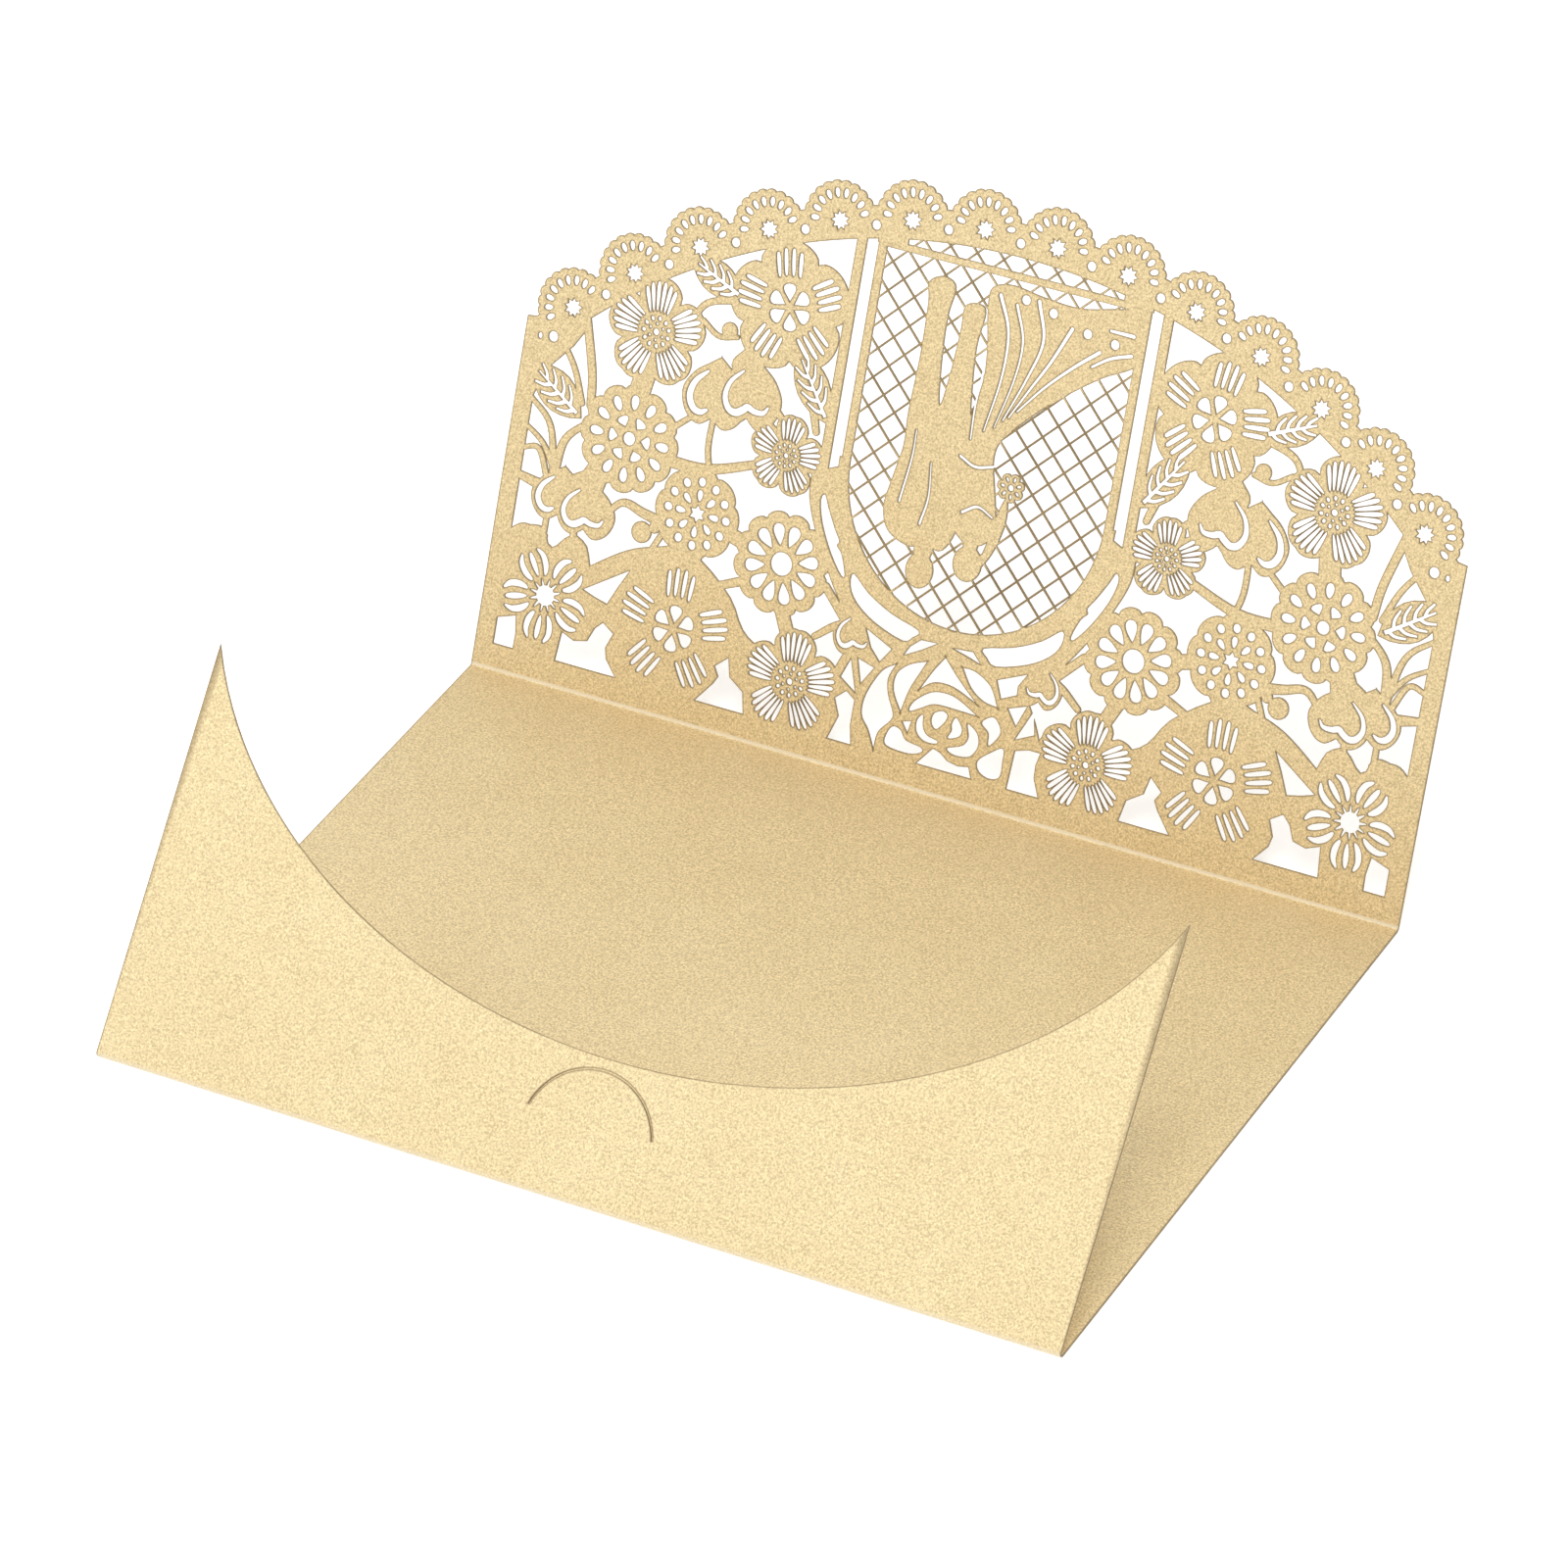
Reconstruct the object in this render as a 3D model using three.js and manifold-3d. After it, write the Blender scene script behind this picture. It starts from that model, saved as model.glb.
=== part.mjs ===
// A laser-cut wedding invitation card, folded from one sheet of pearl paper.
// The back panel lies flat. The pocket flap leans over it from the front fold,
// and the lace flap stands open behind the back fold.
// Lengths are millimetres and angles are degrees.
import * as THREE from 'three';
import { mergeVertices } from 'three/addons/utils/BufferGeometryUtils.js';
import Module from 'manifold-3d';

const wasm = await Module();
wasm.setup();

// The sheet and its two folds
const cardWidth = 184;
const backHeight = 127;
const paperThickness = 0.3;
const foldRadius = 0.5;
const pocketAngle = 48;
const laceAngle = 65;
const foldSteps = 4;

// The pocket flap's hollow edge and the half-moon slit that takes the lace tip
const pocketSideHeight = 73;
const pocketCentreHeight = 24.8;
const pocketEdgeDepth = 71;
const pocketEdgeSteps = 22;
const slitCentreHeight = 10.5;
const slitRadius = 12.2;
const slitSpread = 74;
const slitWidth = 0.4;
const slitSteps = 6;

// The lace flap's borders and its scalloped edge
const laceSideHeight = 65;
const sideBorder = 3.6;
const footBorder = 5;
const scallopArcRadius = 123.7;
const scallopArcDrop = 23;
const scallopCount = 14;
const scallopRadius = 7.2;
const scallopRipple = 0.3;
const scallopEdgeSteps = 10;
const scallopEdgeSpread = 70;
const bandInside = 3.4;
const fanRadius = 4.9;
const fanHoles = 3;
const fanSpread = 46;
const fanHoleLength = 1.9;
const fanHoleWidth = 1.2;
const scallopHoleRadius = 1.7;
const valleyHoleRadius = 0.85;

// The window with its lattice
const windowHalfWidth = 24.9;
const windowTop = 93.3;
const windowSpring = 55;
const windowBar = 1.8;
const slotWidth = 2.2;
const outerBar = 2;
const slotTop = 94.8;
const slotFoot = 49;
const archBand = 2.3;
const outerArchBand = 2.4;
const outerArchGap = 3.4;
const headBar = 1.3;
const headStripHalfWidth = 21;
const latticePitch = 10.4;
const latticeThread = 0.5;
const archSteps = 10;

// The cutters stand this far out on both faces of the paper
const cutterReach = 2;
// Outline steps shorter than the first value, or straighter than the second, are left out
const finestStep = 0.1;
const straightness = 0.01;
const fillTurn = 0.3;

const point = (x, y) => new THREE.Vector2(x, y);
const radians = THREE.MathUtils.degToRad;
const mirrored = (outline) => outline.map((p) => point(-p.x, p.y));

function polar(centre, radius, degrees) {
  const angle = radians(degrees);
  return point(centre.x + radius * Math.cos(angle), centre.y + radius * Math.sin(angle));
}

// Points along an arc, from one angle to another
function arc(centre, radius, from, to, steps) {
  return Array.from({ length: steps + 1 }, (_, i) => polar(centre, radius, from + ((to - from) * i) / steps));
}

function disc(centre, radius, sides, stretch = 1) {
  return Array.from({ length: sides }, (_, i) => {
    const p = polar(point(0, 0), radius, (360 * (i + 0.5)) / sides);
    return point(centre.x + p.x, centre.y + p.y * stretch);
  });
}

// A rosette whose radius swells to a round lobe at each petal
function rosette(centre, radius, depth, petals, turn, steps) {
  return Array.from({ length: petals * steps }, (_, i) => {
    const share = i / steps;
    const swell = Math.abs(Math.cos(Math.PI * share)) ** 0.7;
    return polar(centre, radius - depth * (1 - swell), turn + (360 * share) / petals);
  });
}

function star(centre, radius, innerRadius, tips, turn = 0) {
  return Array.from({ length: 2 * tips }, (_, i) =>
    polar(centre, i % 2 ? innerRadius : radius, turn + (180 * i) / tips));
}

// A closed outline made from a smooth line, with the same width or a taper to its tip
function ribbon(route, width, steps, tipWidth = width) {
  const line = new THREE.SplineCurve(route);
  const left = [];
  const right = [];
  for (let i = 0; i <= steps; i += 1) {
    const p = line.getPoint(i / steps);
    const along = line.getTangent(i / steps);
    const half = THREE.MathUtils.lerp(width, tipWidth, i / steps) / 2;
    left.push(point(p.x - along.y * half, p.y + along.x * half));
    right.unshift(point(p.x + along.y * half, p.y - along.x * half));
  }
  return [...left, ...right];
}

// A sickle between two arcs that meet at its tips
function sickle(centre, radius, width, from, to, steps) {
  const outer = arc(centre, radius, from, to, steps);
  const inner = [];
  for (let i = steps - 1; i > 0; i -= 1) {
    const share = i / steps;
    inner.push(polar(centre, radius - width * Math.sin(Math.PI * share), from + (to - from) * share));
  }
  return [...outer, ...inner];
}

// A heart with its tip up
function heart(centre, width, height, steps) {
  return Array.from({ length: steps }, (_, i) => {
    const t = (2 * Math.PI * i) / steps;
    const across = Math.sin(t) ** 3;
    const up = (13 * Math.cos(t) - 5 * Math.cos(2 * t) - 2 * Math.cos(3 * t) - Math.cos(4 * t)) / 29;
    return point(centre.x + (across * width) / 2, centre.y - (up + 0.1) * height);
  });
}

// A pointed leaf from its stalk to its tip
function leaf(stalk, tip, width, steps) {
  const middle = stalk.clone().add(tip).multiplyScalar(0.5);
  const along = tip.clone().sub(stalk).normalize();
  const side = point(-along.y, along.x).multiplyScalar(width);
  const upper = new THREE.QuadraticBezierCurve(stalk, middle.clone().add(side), tip).getPoints(steps);
  const lower = new THREE.QuadraticBezierCurve(tip, middle.clone().sub(side), stalk).getPoints(steps);
  return [...upper.slice(0, -1), ...lower.slice(0, -1)];
}

// A hole that starts as a point near the flower's centre and widens outwards
function needle(centre, from, to, degrees, width) {
  const spread = THREE.MathUtils.radToDeg(width / 2 / to);
  return [polar(centre, from, degrees), polar(centre, to, degrees - spread), polar(centre, to, degrees + spread)];
}

// A four-cornered drop, widest at a share of its length
function drop(centre, from, to, degrees, width, widest = 0.6) {
  const radius = THREE.MathUtils.lerp(from, to, widest);
  const spread = THREE.MathUtils.radToDeg(width / 2 / radius);
  return [
    polar(centre, from, degrees),
    polar(centre, radius, degrees - spread),
    polar(centre, to, degrees),
    polar(centre, radius, degrees + spread),
  ];
}

// The flowers: each returns its outline and the holes cut through it
function stripedFlower({ x, y, radius, turn, stripes }) {
  const centre = point(x, y);
  const holes = [disc(centre, radius * 0.2, 4)];
  for (let petal = 0; petal < 5; petal += 1) {
    for (let i = 0; i < stripes; i += 1) {
      const offset = (i - (stripes - 1) / 2) * (48 / stripes);
      holes.push(needle(centre, radius * 0.36, radius * 0.9, turn + 72 * petal + offset, radius * 0.14));
    }
  }
  return { outline: rosette(centre, radius, radius * 0.28, 5, turn, 4), holes };
}

function buttonFlower({ x, y, radius, turn, slits }) {
  const centre = point(x, y);
  const holes = [];
  for (let i = 0; i < 6; i += 1) {
    holes.push(needle(centre, 0.7, 4, turn + 60 * i, 3.4));
  }
  for (let petal = 0; petal < 5; petal += 1) {
    for (let i = 0; i < slits; i += 1) {
      const offset = (i - (slits - 1) / 2) * (34 / slits);
      holes.push(needle(centre, radius * 0.46, radius * 0.86, turn + 72 * petal + offset, 1.3));
    }
  }
  return { outline: rosette(centre, radius, radius * 0.2, 5, turn, 4), holes };
}

function cornerFlower({ x, y, radius, turn }) {
  const centre = point(x, y);
  const holes = [disc(centre, radius * 0.22, 5)];
  for (let petal = 0; petal < 5; petal += 1) {
    for (const hand of [-1, 1]) {
      const lean = turn + 72 * petal + hand * 13;
      holes.push(drop(centre, radius * 0.4, radius * 0.9, lean, radius * 0.17, 0.65));
    }
  }
  return { outline: rosette(centre, radius, radius * 0.26, 5, turn, 4), holes };
}

function daisy({ x, y, radius, turn, petals, centreHole, dropFrom, dropTo, dropWidth }) {
  const centre = point(x, y);
  const holes = [disc(centre, centreHole, 5)];
  for (let petal = 0; petal < petals; petal += 1) {
    holes.push(needle(centre, dropFrom, dropTo, turn + (360 * petal) / petals, dropWidth));
  }
  return { outline: rosette(centre, radius, radius * 0.13, petals, turn, 2), holes };
}

function dottedFlower({ x, y, radius, turn }) {
  const centre = point(x, y);
  const holes = [star(centre, radius * 0.4, radius * 0.16, 4, turn)];
  for (let i = 0; i < 8; i += 1) {
    holes.push(disc(polar(centre, radius * 0.7, turn + 45 * i), radius * 0.13, 3));
  }
  return { outline: rosette(centre, radius, radius * 0.13, 8, turn, 2), holes };
}

// The flowers of the right half, from the foot to the scallops
const flowers = [
  cornerFlower({ x: 79.2, y: 16.4, radius: 10, turn: 54 }),
  buttonFlower({ x: 53.5, y: 16.7, radius: 12.6, turn: 90, slits: 2 }),
  stripedFlower({ x: 29.3, y: 13.2, radius: 9.8, turn: 90, stripes: 2 }),
  daisy({ x: 34.7, y: 33.4, radius: 9.6, turn: 15, petals: 12, centreHole: 2.2, dropFrom: 3.3, dropTo: 7.3, dropWidth: 1.9 }),
  dottedFlower({ x: 52.6, y: 38.1, radius: 8.4, turn: 0 }),
  daisy({ x: 68.2, y: 48, radius: 10.2, turn: 0, petals: 12, centreHole: 1.6, dropFrom: 5, dropTo: 8.1, dropWidth: 1.9 }),
  stripedFlower({ x: 37.4, y: 52.5, radius: 7.6, turn: 95, stripes: 2 }),
  stripedFlower({ x: 66.4, y: 68, radius: 9.9, turn: 88, stripes: 2 }),
  buttonFlower({ x: 41.5, y: 78.4, radius: 12, turn: 80, slits: 2 }),
];

// Hearts stand tip up, each with a sickle cut along its lower side
const heartSteps = 12;
const heartCutFrom = 62;
const heartCutTo = -72;
const hearts = [
  { x: 48.3, y: 61.2, width: 12, height: 12 },
  { x: 56.6, y: 60.5, width: 8.5, height: 11 },
  { x: 75, y: 34.2, width: 11, height: 11 },
  { x: 82.6, y: 35, width: 8, height: 10.5 },
  { x: 17.4, y: 24, width: 7.6, height: 8 },
];

const leaves = [
  { stalk: point(76.5, 50.5), tip: point(89.5, 56.5), width: 6 },
  { stalk: point(51, 78), tip: point(65.5, 82), width: 5 },
  { stalk: point(29.4, 60), tip: point(39, 71.5), width: 5.6 },
];

// Stems and curls that tie the flowers together: route, width, width at the tip
const stems = [
  [[point(80.5, 68), point(76.8, 52)], 1.9, 1.7],
  [[point(89, 51), point(84, 46.5), point(81.6, 37)], 1.5, 1.6],
  [[point(76, 49.5), point(81.8, 39)], 1.2, 2.2],
  [[point(89, 36.2), point(84, 37)], 2.4, 2.4],
  [[point(81, 33), point(81.3, 24)], 1.4, 1.6],
  [[point(75, 32), point(75.4, 24)], 1.6, 2],
  [[point(72, 31.4), point(66.6, 36.4), point(57, 35)], 1.4, 3],
  [[point(72.5, 18), point(62, 18)], 3.4, 4],
  [[point(73.5, 21.6), point(63.5, 27.6), point(53, 29)], 1.5, 3.4],
  [[point(53.2, 26), point(52.8, 33)], 6, 6],
  [[point(43.5, 18), point(35.5, 15)], 2.4, 2.4],
  [[point(34, 27), point(30.6, 20)], 3, 3],
  [[point(41.5, 35), point(47, 36.5)], 3, 3],
  [[point(61, 46), point(41.5, 49)], 2.6, 1.8],
  [[point(50.7, 45), point(53.4, 58)], 1.2, 1.2],
  [[point(68, 55), point(67, 61)], 4.6, 4.6],
  [[point(42, 56), point(46.6, 60)], 2.4, 2.4],
  [[point(48.6, 66), point(44, 71)], 5, 5],
  [[point(59, 69), point(58, 75.4), point(50, 77.6)], 1.4, 1.6],
];

// The mirrored stems that frame the rose at the middle of the foot
const roseStems = [
  [[point(26, 22.4), point(19, 26), point(7.5, 26.4)], 1.4, 1.6],
  [[point(24.5, 31.6), point(19, 26)], 2, 2],
  [[point(15.4, 28.6), point(6, 15)], 1.4, 1.4],
  [[point(18.8, 18.6), point(14.4, 13), point(13.4, 4)], 1.3, 2.4],
  [[point(14.6, 14.4), point(22.4, 12)], 1.4, 1.4],
  [[point(9.4, 28.6), point(0, 20.2)], 1.3, 1.3],
];

// The rose: a round head, with sickles between its petals
const roseCentre = point(0.6, 12.2);
const roseOutline = rosette(roseCentre, 8.8, 1.2, 5, 90, 3);
const roseHoles = [
  disc(point(0.8, 13.4), 1.5, 5, 1.25),
  sickle(point(0.8, 13), 4, 1.3, 190, 345, 3),
  sickle(point(0.8, 12.6), 6.4, 1.5, 115, 205, 3),
  sickle(point(0.8, 12.4), 6.4, 1.5, -35, 60, 3),
  sickle(point(0.8, 11.4), 6.7, 1.3, 68, 108, 2),
  sickle(point(0.8, 12.6), 7, 1.6, 225, 315, 3),
];

// A bride and groom as plain silhouettes, head down
const groomOutline = new THREE.SplineCurve([
  point(-11.6, 41.6), point(-16.2, 44.6), point(-15.8, 54), point(-14.9, 68), point(-15.2, 86),
  point(-12.4, 90.6), point(-10.2, 88.4), point(-11, 80), point(-9.8, 71), point(-8.8, 78),
  point(-8.2, 86), point(-4.6, 86.6), point(-4.6, 78), point(-3, 66), point(-2.2, 52), point(-4.4, 42.4),
  point(-8, 43), point(-11.6, 41.6),
]).getPoints(23).slice(0, -1);
const brideOutline = new THREE.SplineCurve([
  point(-3.4, 47), point(0.4, 45.2), point(4.2, 47.6), point(3.8, 54), point(1.8, 61), point(3.6, 66.6),
  point(13, 75.6), point(24.4, 83.6), point(24.6, 93.6), point(12, 91.2), point(0, 92), point(-4.2, 88),
  point(-2.2, 78), point(-4.6, 66), point(-3.4, 47),
]).getPoints(20).slice(0, -1);
const coupleOutlines = [
  groomOutline,
  brideOutline,
  disc(point(-8.2, 38.4), 2.9, 8, 1.2),
  disc(point(0.6, 42.4), 3.1, 8, 1.1),
  ribbon([point(-8.2, 40), point(-8.2, 44)], 3, 1),
  ribbon([point(0.6, 43), point(0.4, 48)], 2.6, 1),
  disc(point(6, 55.6), 2.6, 6),
];
const coupleHoles = [
  ...[[3.4, 89], [9.2, 88.4], [15.2, 87], [21, 86.8]].map(([x, y]) => disc(point(x, y), 0.9, 4)),
  ribbon([point(-0.8, 88.6), point(2.2, 81), point(1.8, 71)], 0.6, 2, 0.3),
  ribbon([point(5.4, 89), point(6.4, 82), point(2.8, 69)], 0.6, 2, 0.3),
  ribbon([point(13.6, 85), point(8.4, 79), point(4, 70.4)], 0.6, 2, 0.3),
  ribbon([point(-4.4, 60), point(1.2, 59)], 0.6, 1, 0.6),
];

// Straight prisms along the paper's thickness, one closed body for each outline
function extrude(outline, depth, floor) {
  const settings = { depth, bevelEnabled: false, steps: 1 };
  return new THREE.ExtrudeGeometry(new THREE.Shape(outline), settings).translate(0, 0, floor);
}

function solidOf(geometry) {
  const bare = geometry.clone();
  bare.deleteAttribute('normal');
  bare.deleteAttribute('uv');
  const merged = mergeVertices(bare, 1e-4);
  return new wasm.Manifold(new wasm.Mesh({
    numProp: 3,
    vertProperties: new Float32Array(merged.attributes.position.array),
    triVerts: new Uint32Array(merged.index.array),
  }));
}

function geometryFrom(solid) {
  const { vertProperties, triVerts } = solid.getMesh();
  const geometry = new THREE.BufferGeometry();
  geometry.setAttribute('position', new THREE.BufferAttribute(new Float32Array(vertProperties), 3));
  geometry.setIndex(new THREE.BufferAttribute(new Uint32Array(triVerts), 1));
  return geometry;
}

const paper = (outline) => solidOf(extrude(outline, paperThickness, 0));
const cutter = (outline) => solidOf(extrude(outline, paperThickness + 2 * cutterReach, -cutterReach));
const join = (solids) => solids.reduce((whole, solid) => whole.add(solid));

// The closed loops round the upper face of a flat plate, as point lists
function faceLoops(plate) {
  const { vertProperties, triVerts } = plate.getMesh();
  const height = (corner) => vertProperties[3 * corner + 2];
  const after = new Map();
  for (let i = 0; i < triVerts.length; i += 3) {
    const corners = [triVerts[i], triVerts[i + 1], triVerts[i + 2]];
    if (corners.every((corner) => height(corner) > paperThickness / 2)) {
      corners.forEach((corner, k) => after.set(`${corner} ${corners[(k + 1) % 3]}`, [corner, corners[(k + 1) % 3]]));
    }
  }
  const next = new Map();
  for (const [from, to] of after.values()) {
    if (!after.has(`${to} ${from}`)) {
      next.set(from, to);
    }
  }
  const loops = [];
  while (next.size > 0) {
    const loop = [];
    let corner = next.keys().next().value;
    while (next.has(corner)) {
      loop.push(point(vertProperties[3 * corner], vertProperties[3 * corner + 1]));
      const following = next.get(corner);
      next.delete(corner);
      corner = following;
    }
    loops.push(loop);
  }
  return loops;
}

// Leaves out the points where an outline runs on straight or hardly moves
function withoutIdlePoints(loop) {
  const kept = [];
  loop.forEach((p, i) => {
    const before = kept.at(-1) ?? loop.at(-1);
    const arriving = p.clone().sub(before);
    const leaving = loop[(i + 1) % loop.length].clone().sub(p);
    const offLine = Math.abs(arriving.cross(leaving)) / (arriving.distanceTo(leaving.clone().negate()) + 1e-9);
    if (arriving.length() > finestStep && offLine > straightness) {
      kept.push(p);
    }
  });
  return kept;
}

// The same plate as one clean extrusion, with every opening as a hole in its outline.
// It is filled in a turned frame, because many openings share a level or a plumb line.
// At a size where openings touch and the filling doesn't close, the joined plate stays as it is.
function cleanPlate(plate) {
  const loops = faceLoops(plate).map(withoutIdlePoints).filter((loop) => loop.length > 2);
  loops.flat().forEach((p) => p.rotateAround(point(0, 0), fillTurn));
  const area = (loop) => THREE.ShapeUtils.area(loop);
  const outer = loops.reduce((largest, loop) => (area(loop) > area(largest) ? loop : largest));
  const shape = new THREE.Shape(outer);
  shape.holes = loops.filter((loop) => area(loop) < 0).map((loop) => new THREE.Path(loop));
  const plain = { depth: paperThickness, bevelEnabled: false, steps: 1 };
  try {
    return solidOf(new THREE.ExtrudeGeometry(shape, plain).rotateZ(-fillTurn));
  } catch {
    return plate;
  }
}

// The scalloped edge follows one large circle whose centre lies below the fold
const halfWidth = cardWidth / 2;
const scallopOrigin = point(0, -scallopArcDrop);
const scallopReach = THREE.MathUtils.radToDeg(Math.asin((halfWidth - sideBorder) / scallopArcRadius));
const scallopStep = (2 * scallopReach) / scallopCount;
const bandInnerRadius = scallopArcRadius - bandInside;
const laceTop = scallopArcRadius - scallopArcDrop + scallopRadius;
const outerRadius = foldRadius + paperThickness;
const bendSetback = outerRadius * Math.tan(radians(laceAngle / 2));

function scallops() {
  const holes = [];
  const outline = arc(scallopOrigin, bandInnerRadius, 90 + scallopReach, 90 - scallopReach, scallopCount);
  for (let i = 0; i < scallopCount; i += 1) {
    const outward = 90 + scallopStep * (i - (scallopCount - 1) / 2);
    const centre = polar(scallopOrigin, scallopArcRadius, outward);
    for (let j = 0; j <= scallopEdgeSteps; j += 1) {
      const lean = scallopEdgeSpread * ((2 * j) / scallopEdgeSteps - 1);
      outline.push(polar(centre, scallopRadius - (j % 2 ? 0 : scallopRipple), outward + lean));
    }
    holes.push(disc(centre, scallopHoleRadius, 5));
    for (let j = 0; j < fanHoles; j += 1) {
      const lean = outward + fanSpread * (j - (fanHoles - 1) / 2);
      const from = fanRadius - fanHoleLength / 2;
      holes.push(needle(centre, from, from + fanHoleLength, lean, fanHoleWidth));
    }
  }
  for (let i = 1; i < scallopCount; i += 1) {
    const outward = 90 + scallopStep * (i - scallopCount / 2);
    holes.push(disc(polar(scallopOrigin, scallopArcRadius - 1, outward), valleyHoleRadius, 4));
  }
  return { outline, holes };
}

// The plain borders at the sides and the foot, and the corners below the end scallops
function borders() {
  const inside = halfWidth - sideBorder;
  const side = [
    point(inside, 0), point(halfWidth + 1, 0), point(halfWidth + 1, laceSideHeight),
    point(inside + 1, laceSideHeight + 0.4), point(inside - 6, laceSideHeight + 4),
    point(inside - 9, laceSideHeight + 1), point(inside - 1.4, laceSideHeight - 9), point(inside, laceSideHeight - 14),
  ];
  const foot = [
    point(-halfWidth, 0), point(halfWidth, 0), point(halfWidth, footBorder), point(-halfWidth, footBorder),
  ];
  const cornerHole = disc(point(inside - 2.1, laceSideHeight - 2.6), 0.95, 5);
  return { outlines: [foot, side, mirrored(side)], holes: [cornerHole, mirrored(cornerHole)] };
}

// The window's bars, the round arch at its foot and the second arch below that
const windowOutline = [
  point(windowHalfWidth, windowSpring), point(windowHalfWidth, windowTop),
  point(-windowHalfWidth, windowTop), point(-windowHalfWidth, windowSpring),
  ...arc(point(0, windowSpring), windowHalfWidth, 180, 360, archSteps).slice(1, -1),
];
const headStrip = [
  point(-headStripHalfWidth, windowTop), point(headStripHalfWidth, windowTop),
  point(headStripHalfWidth, windowTop + 7), point(-headStripHalfWidth, windowTop + 7),
];

function windowFrame() {
  const slotInside = windowHalfWidth + windowBar;
  const barInside = slotInside + slotWidth;
  const barOutside = barInside + outerBar;
  const bar = (from, to, foot, top) => [point(from, foot), point(to, foot), point(to, top), point(from, top)];
  const arch = (inner, outer, centre, from, to) => [
    ...arc(centre, inner, from, to, archSteps / 2),
    ...arc(centre, outer, to, from, archSteps / 2),
  ];
  const springs = point(0, windowSpring);
  const archOuter = windowHalfWidth + archBand;
  const secondInner = archOuter + outerArchGap;
  const right = [
    bar(windowHalfWidth, slotInside, windowSpring - 8, slotTop + 2),
    bar(barInside, barOutside, slotFoot - 1, slotTop + 2),
    bar(slotInside - 1, barInside + 1, slotTop, slotTop + 2),
    bar(slotInside - 1, barInside + 1, slotFoot - 2.4, slotFoot),
    arch(windowHalfWidth, archOuter, springs, 270, 360),
    arch(secondInner, secondInner + outerArchBand, springs, 292, 350),
    ribbon([point(20.6, 38.6), point(23, 35.4)], 1.8, 1),
    bar(headStripHalfWidth, slotInside, windowTop, slotTop + 3),
  ];
  const head = bar(-windowHalfWidth, windowHalfWidth, windowTop, windowTop + headBar);
  return [head, ...right, ...right.map(mirrored)];
}

function lattice() {
  const reach = windowTop;
  const threads = [];
  const lines = Math.ceil((windowHalfWidth + windowTop) / latticePitch);
  for (let i = -lines; i <= lines; i += 1) {
    const foot = i * latticePitch;
    threads.push(paper(ribbon([point(foot, 0), point(foot + 2 * reach, 2 * reach)], latticeThread, 1)));
    threads.push(paper(ribbon([point(foot, 0), point(foot - 2 * reach, 2 * reach)], latticeThread, 1)));
  }
  return join(threads).intersect(join([cutter(windowOutline), cutter(headStrip)]));
}

function laceOutlines() {
  const half = [
    ...flowers.map((flower) => flower.outline),
    ...hearts.map(({ x, y, width, height }) => heart(point(x, y), width, height, heartSteps)),
    ...leaves.map(({ stalk, tip, width }) => leaf(stalk, tip, width, 3)),
    ...[...stems, ...roseStems].map(([route, width, tip]) => ribbon(route, width, route.length - 1, tip)),
  ];
  return [
    ...borders().outlines, scallops().outline, ...windowFrame(), roseOutline, ...coupleOutlines,
    ...half, ...half.map(mirrored),
  ];
}

function heartHole({ x, y, width, height }) {
  return sickle(point(x + width * 0.02, y - height * 0.08), width * 0.31, width * 0.14, heartCutFrom, heartCutTo, 3);
}

function leafHoles({ stalk, tip, width }) {
  const along = tip.clone().sub(stalk);
  const side = point(-along.y, along.x).normalize().multiplyScalar(width * 0.34);
  const corner = (share, out) => stalk.clone().addScaledVector(along, share).addScaledVector(side, out);
  return [-1, 1].map((hand) => [corner(0.32, hand * 0.16), corner(0.54, hand), corner(0.4, hand * 0.9)]);
}

function laceHoles() {
  const half = [
    ...flowers.flatMap((flower) => flower.holes),
    ...hearts.map(heartHole),
    ...leaves.flatMap(leafHoles),
  ];
  return [...borders().holes, ...scallops().holes, ...roseHoles, ...coupleHoles, ...half, ...half.map(mirrored)];
}

// The lace as flat paper, with its height along Y from the fold
function lacePlate() {
  const blank = join([...laceOutlines().map(paper), lattice()]);
  const trim = cutter([
    point(-halfWidth, bendSetback), point(halfWidth, bendSetback),
    point(halfWidth, laceTop + 1), point(-halfWidth, laceTop + 1),
  ]);
  return cleanPlate(blank.intersect(trim).subtract(join(laceHoles().map(cutter))));
}

// The hollow edge is part of an ellipse that meets the flap's corners
function pocketCutter() {
  const rise = pocketSideHeight - pocketCentreHeight;
  const semiWidth = halfWidth / Math.sqrt(1 - (1 - rise / pocketEdgeDepth) ** 2);
  const edge = Array.from({ length: pocketEdgeSteps + 1 }, (_, i) => {
    const x = halfWidth * ((2 * i) / pocketEdgeSteps - 1);
    const y = pocketCentreHeight + pocketEdgeDepth * (1 - Math.sqrt(1 - (x / semiWidth) ** 2));
    return point(x, y);
  });
  const above = pocketSideHeight + 2;
  const hollow = [point(halfWidth, above), point(-halfWidth, above), ...edge];
  const middle = point(0, slitCentreHeight);
  const slit = [
    ...arc(middle, slitRadius + slitWidth / 2, 90 - slitSpread, 90 + slitSpread, slitSteps),
    ...arc(middle, slitRadius - slitWidth / 2, 90 + slitSpread, 90 - slitSpread, slitSteps),
  ];
  return join([cutter(hollow), cutter(slit)]);
}

// The sheet's section across both folds, drawn with the lace flap along X
const laceFold = point(0, outerRadius);
const backFace = 270 - laceAngle;
const pocketFace = backFace - 180 + pocketAngle;
const backRun = backHeight - bendSetback - outerRadius;
const pocketFold = laceFold.clone().add(polar(point(0, 0), backRun, backFace - 90));
const pocketWay = polar(point(0, 0), pocketSideHeight - outerRadius, pocketFace - 90);
const laceStub = footBorder / 2;

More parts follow.
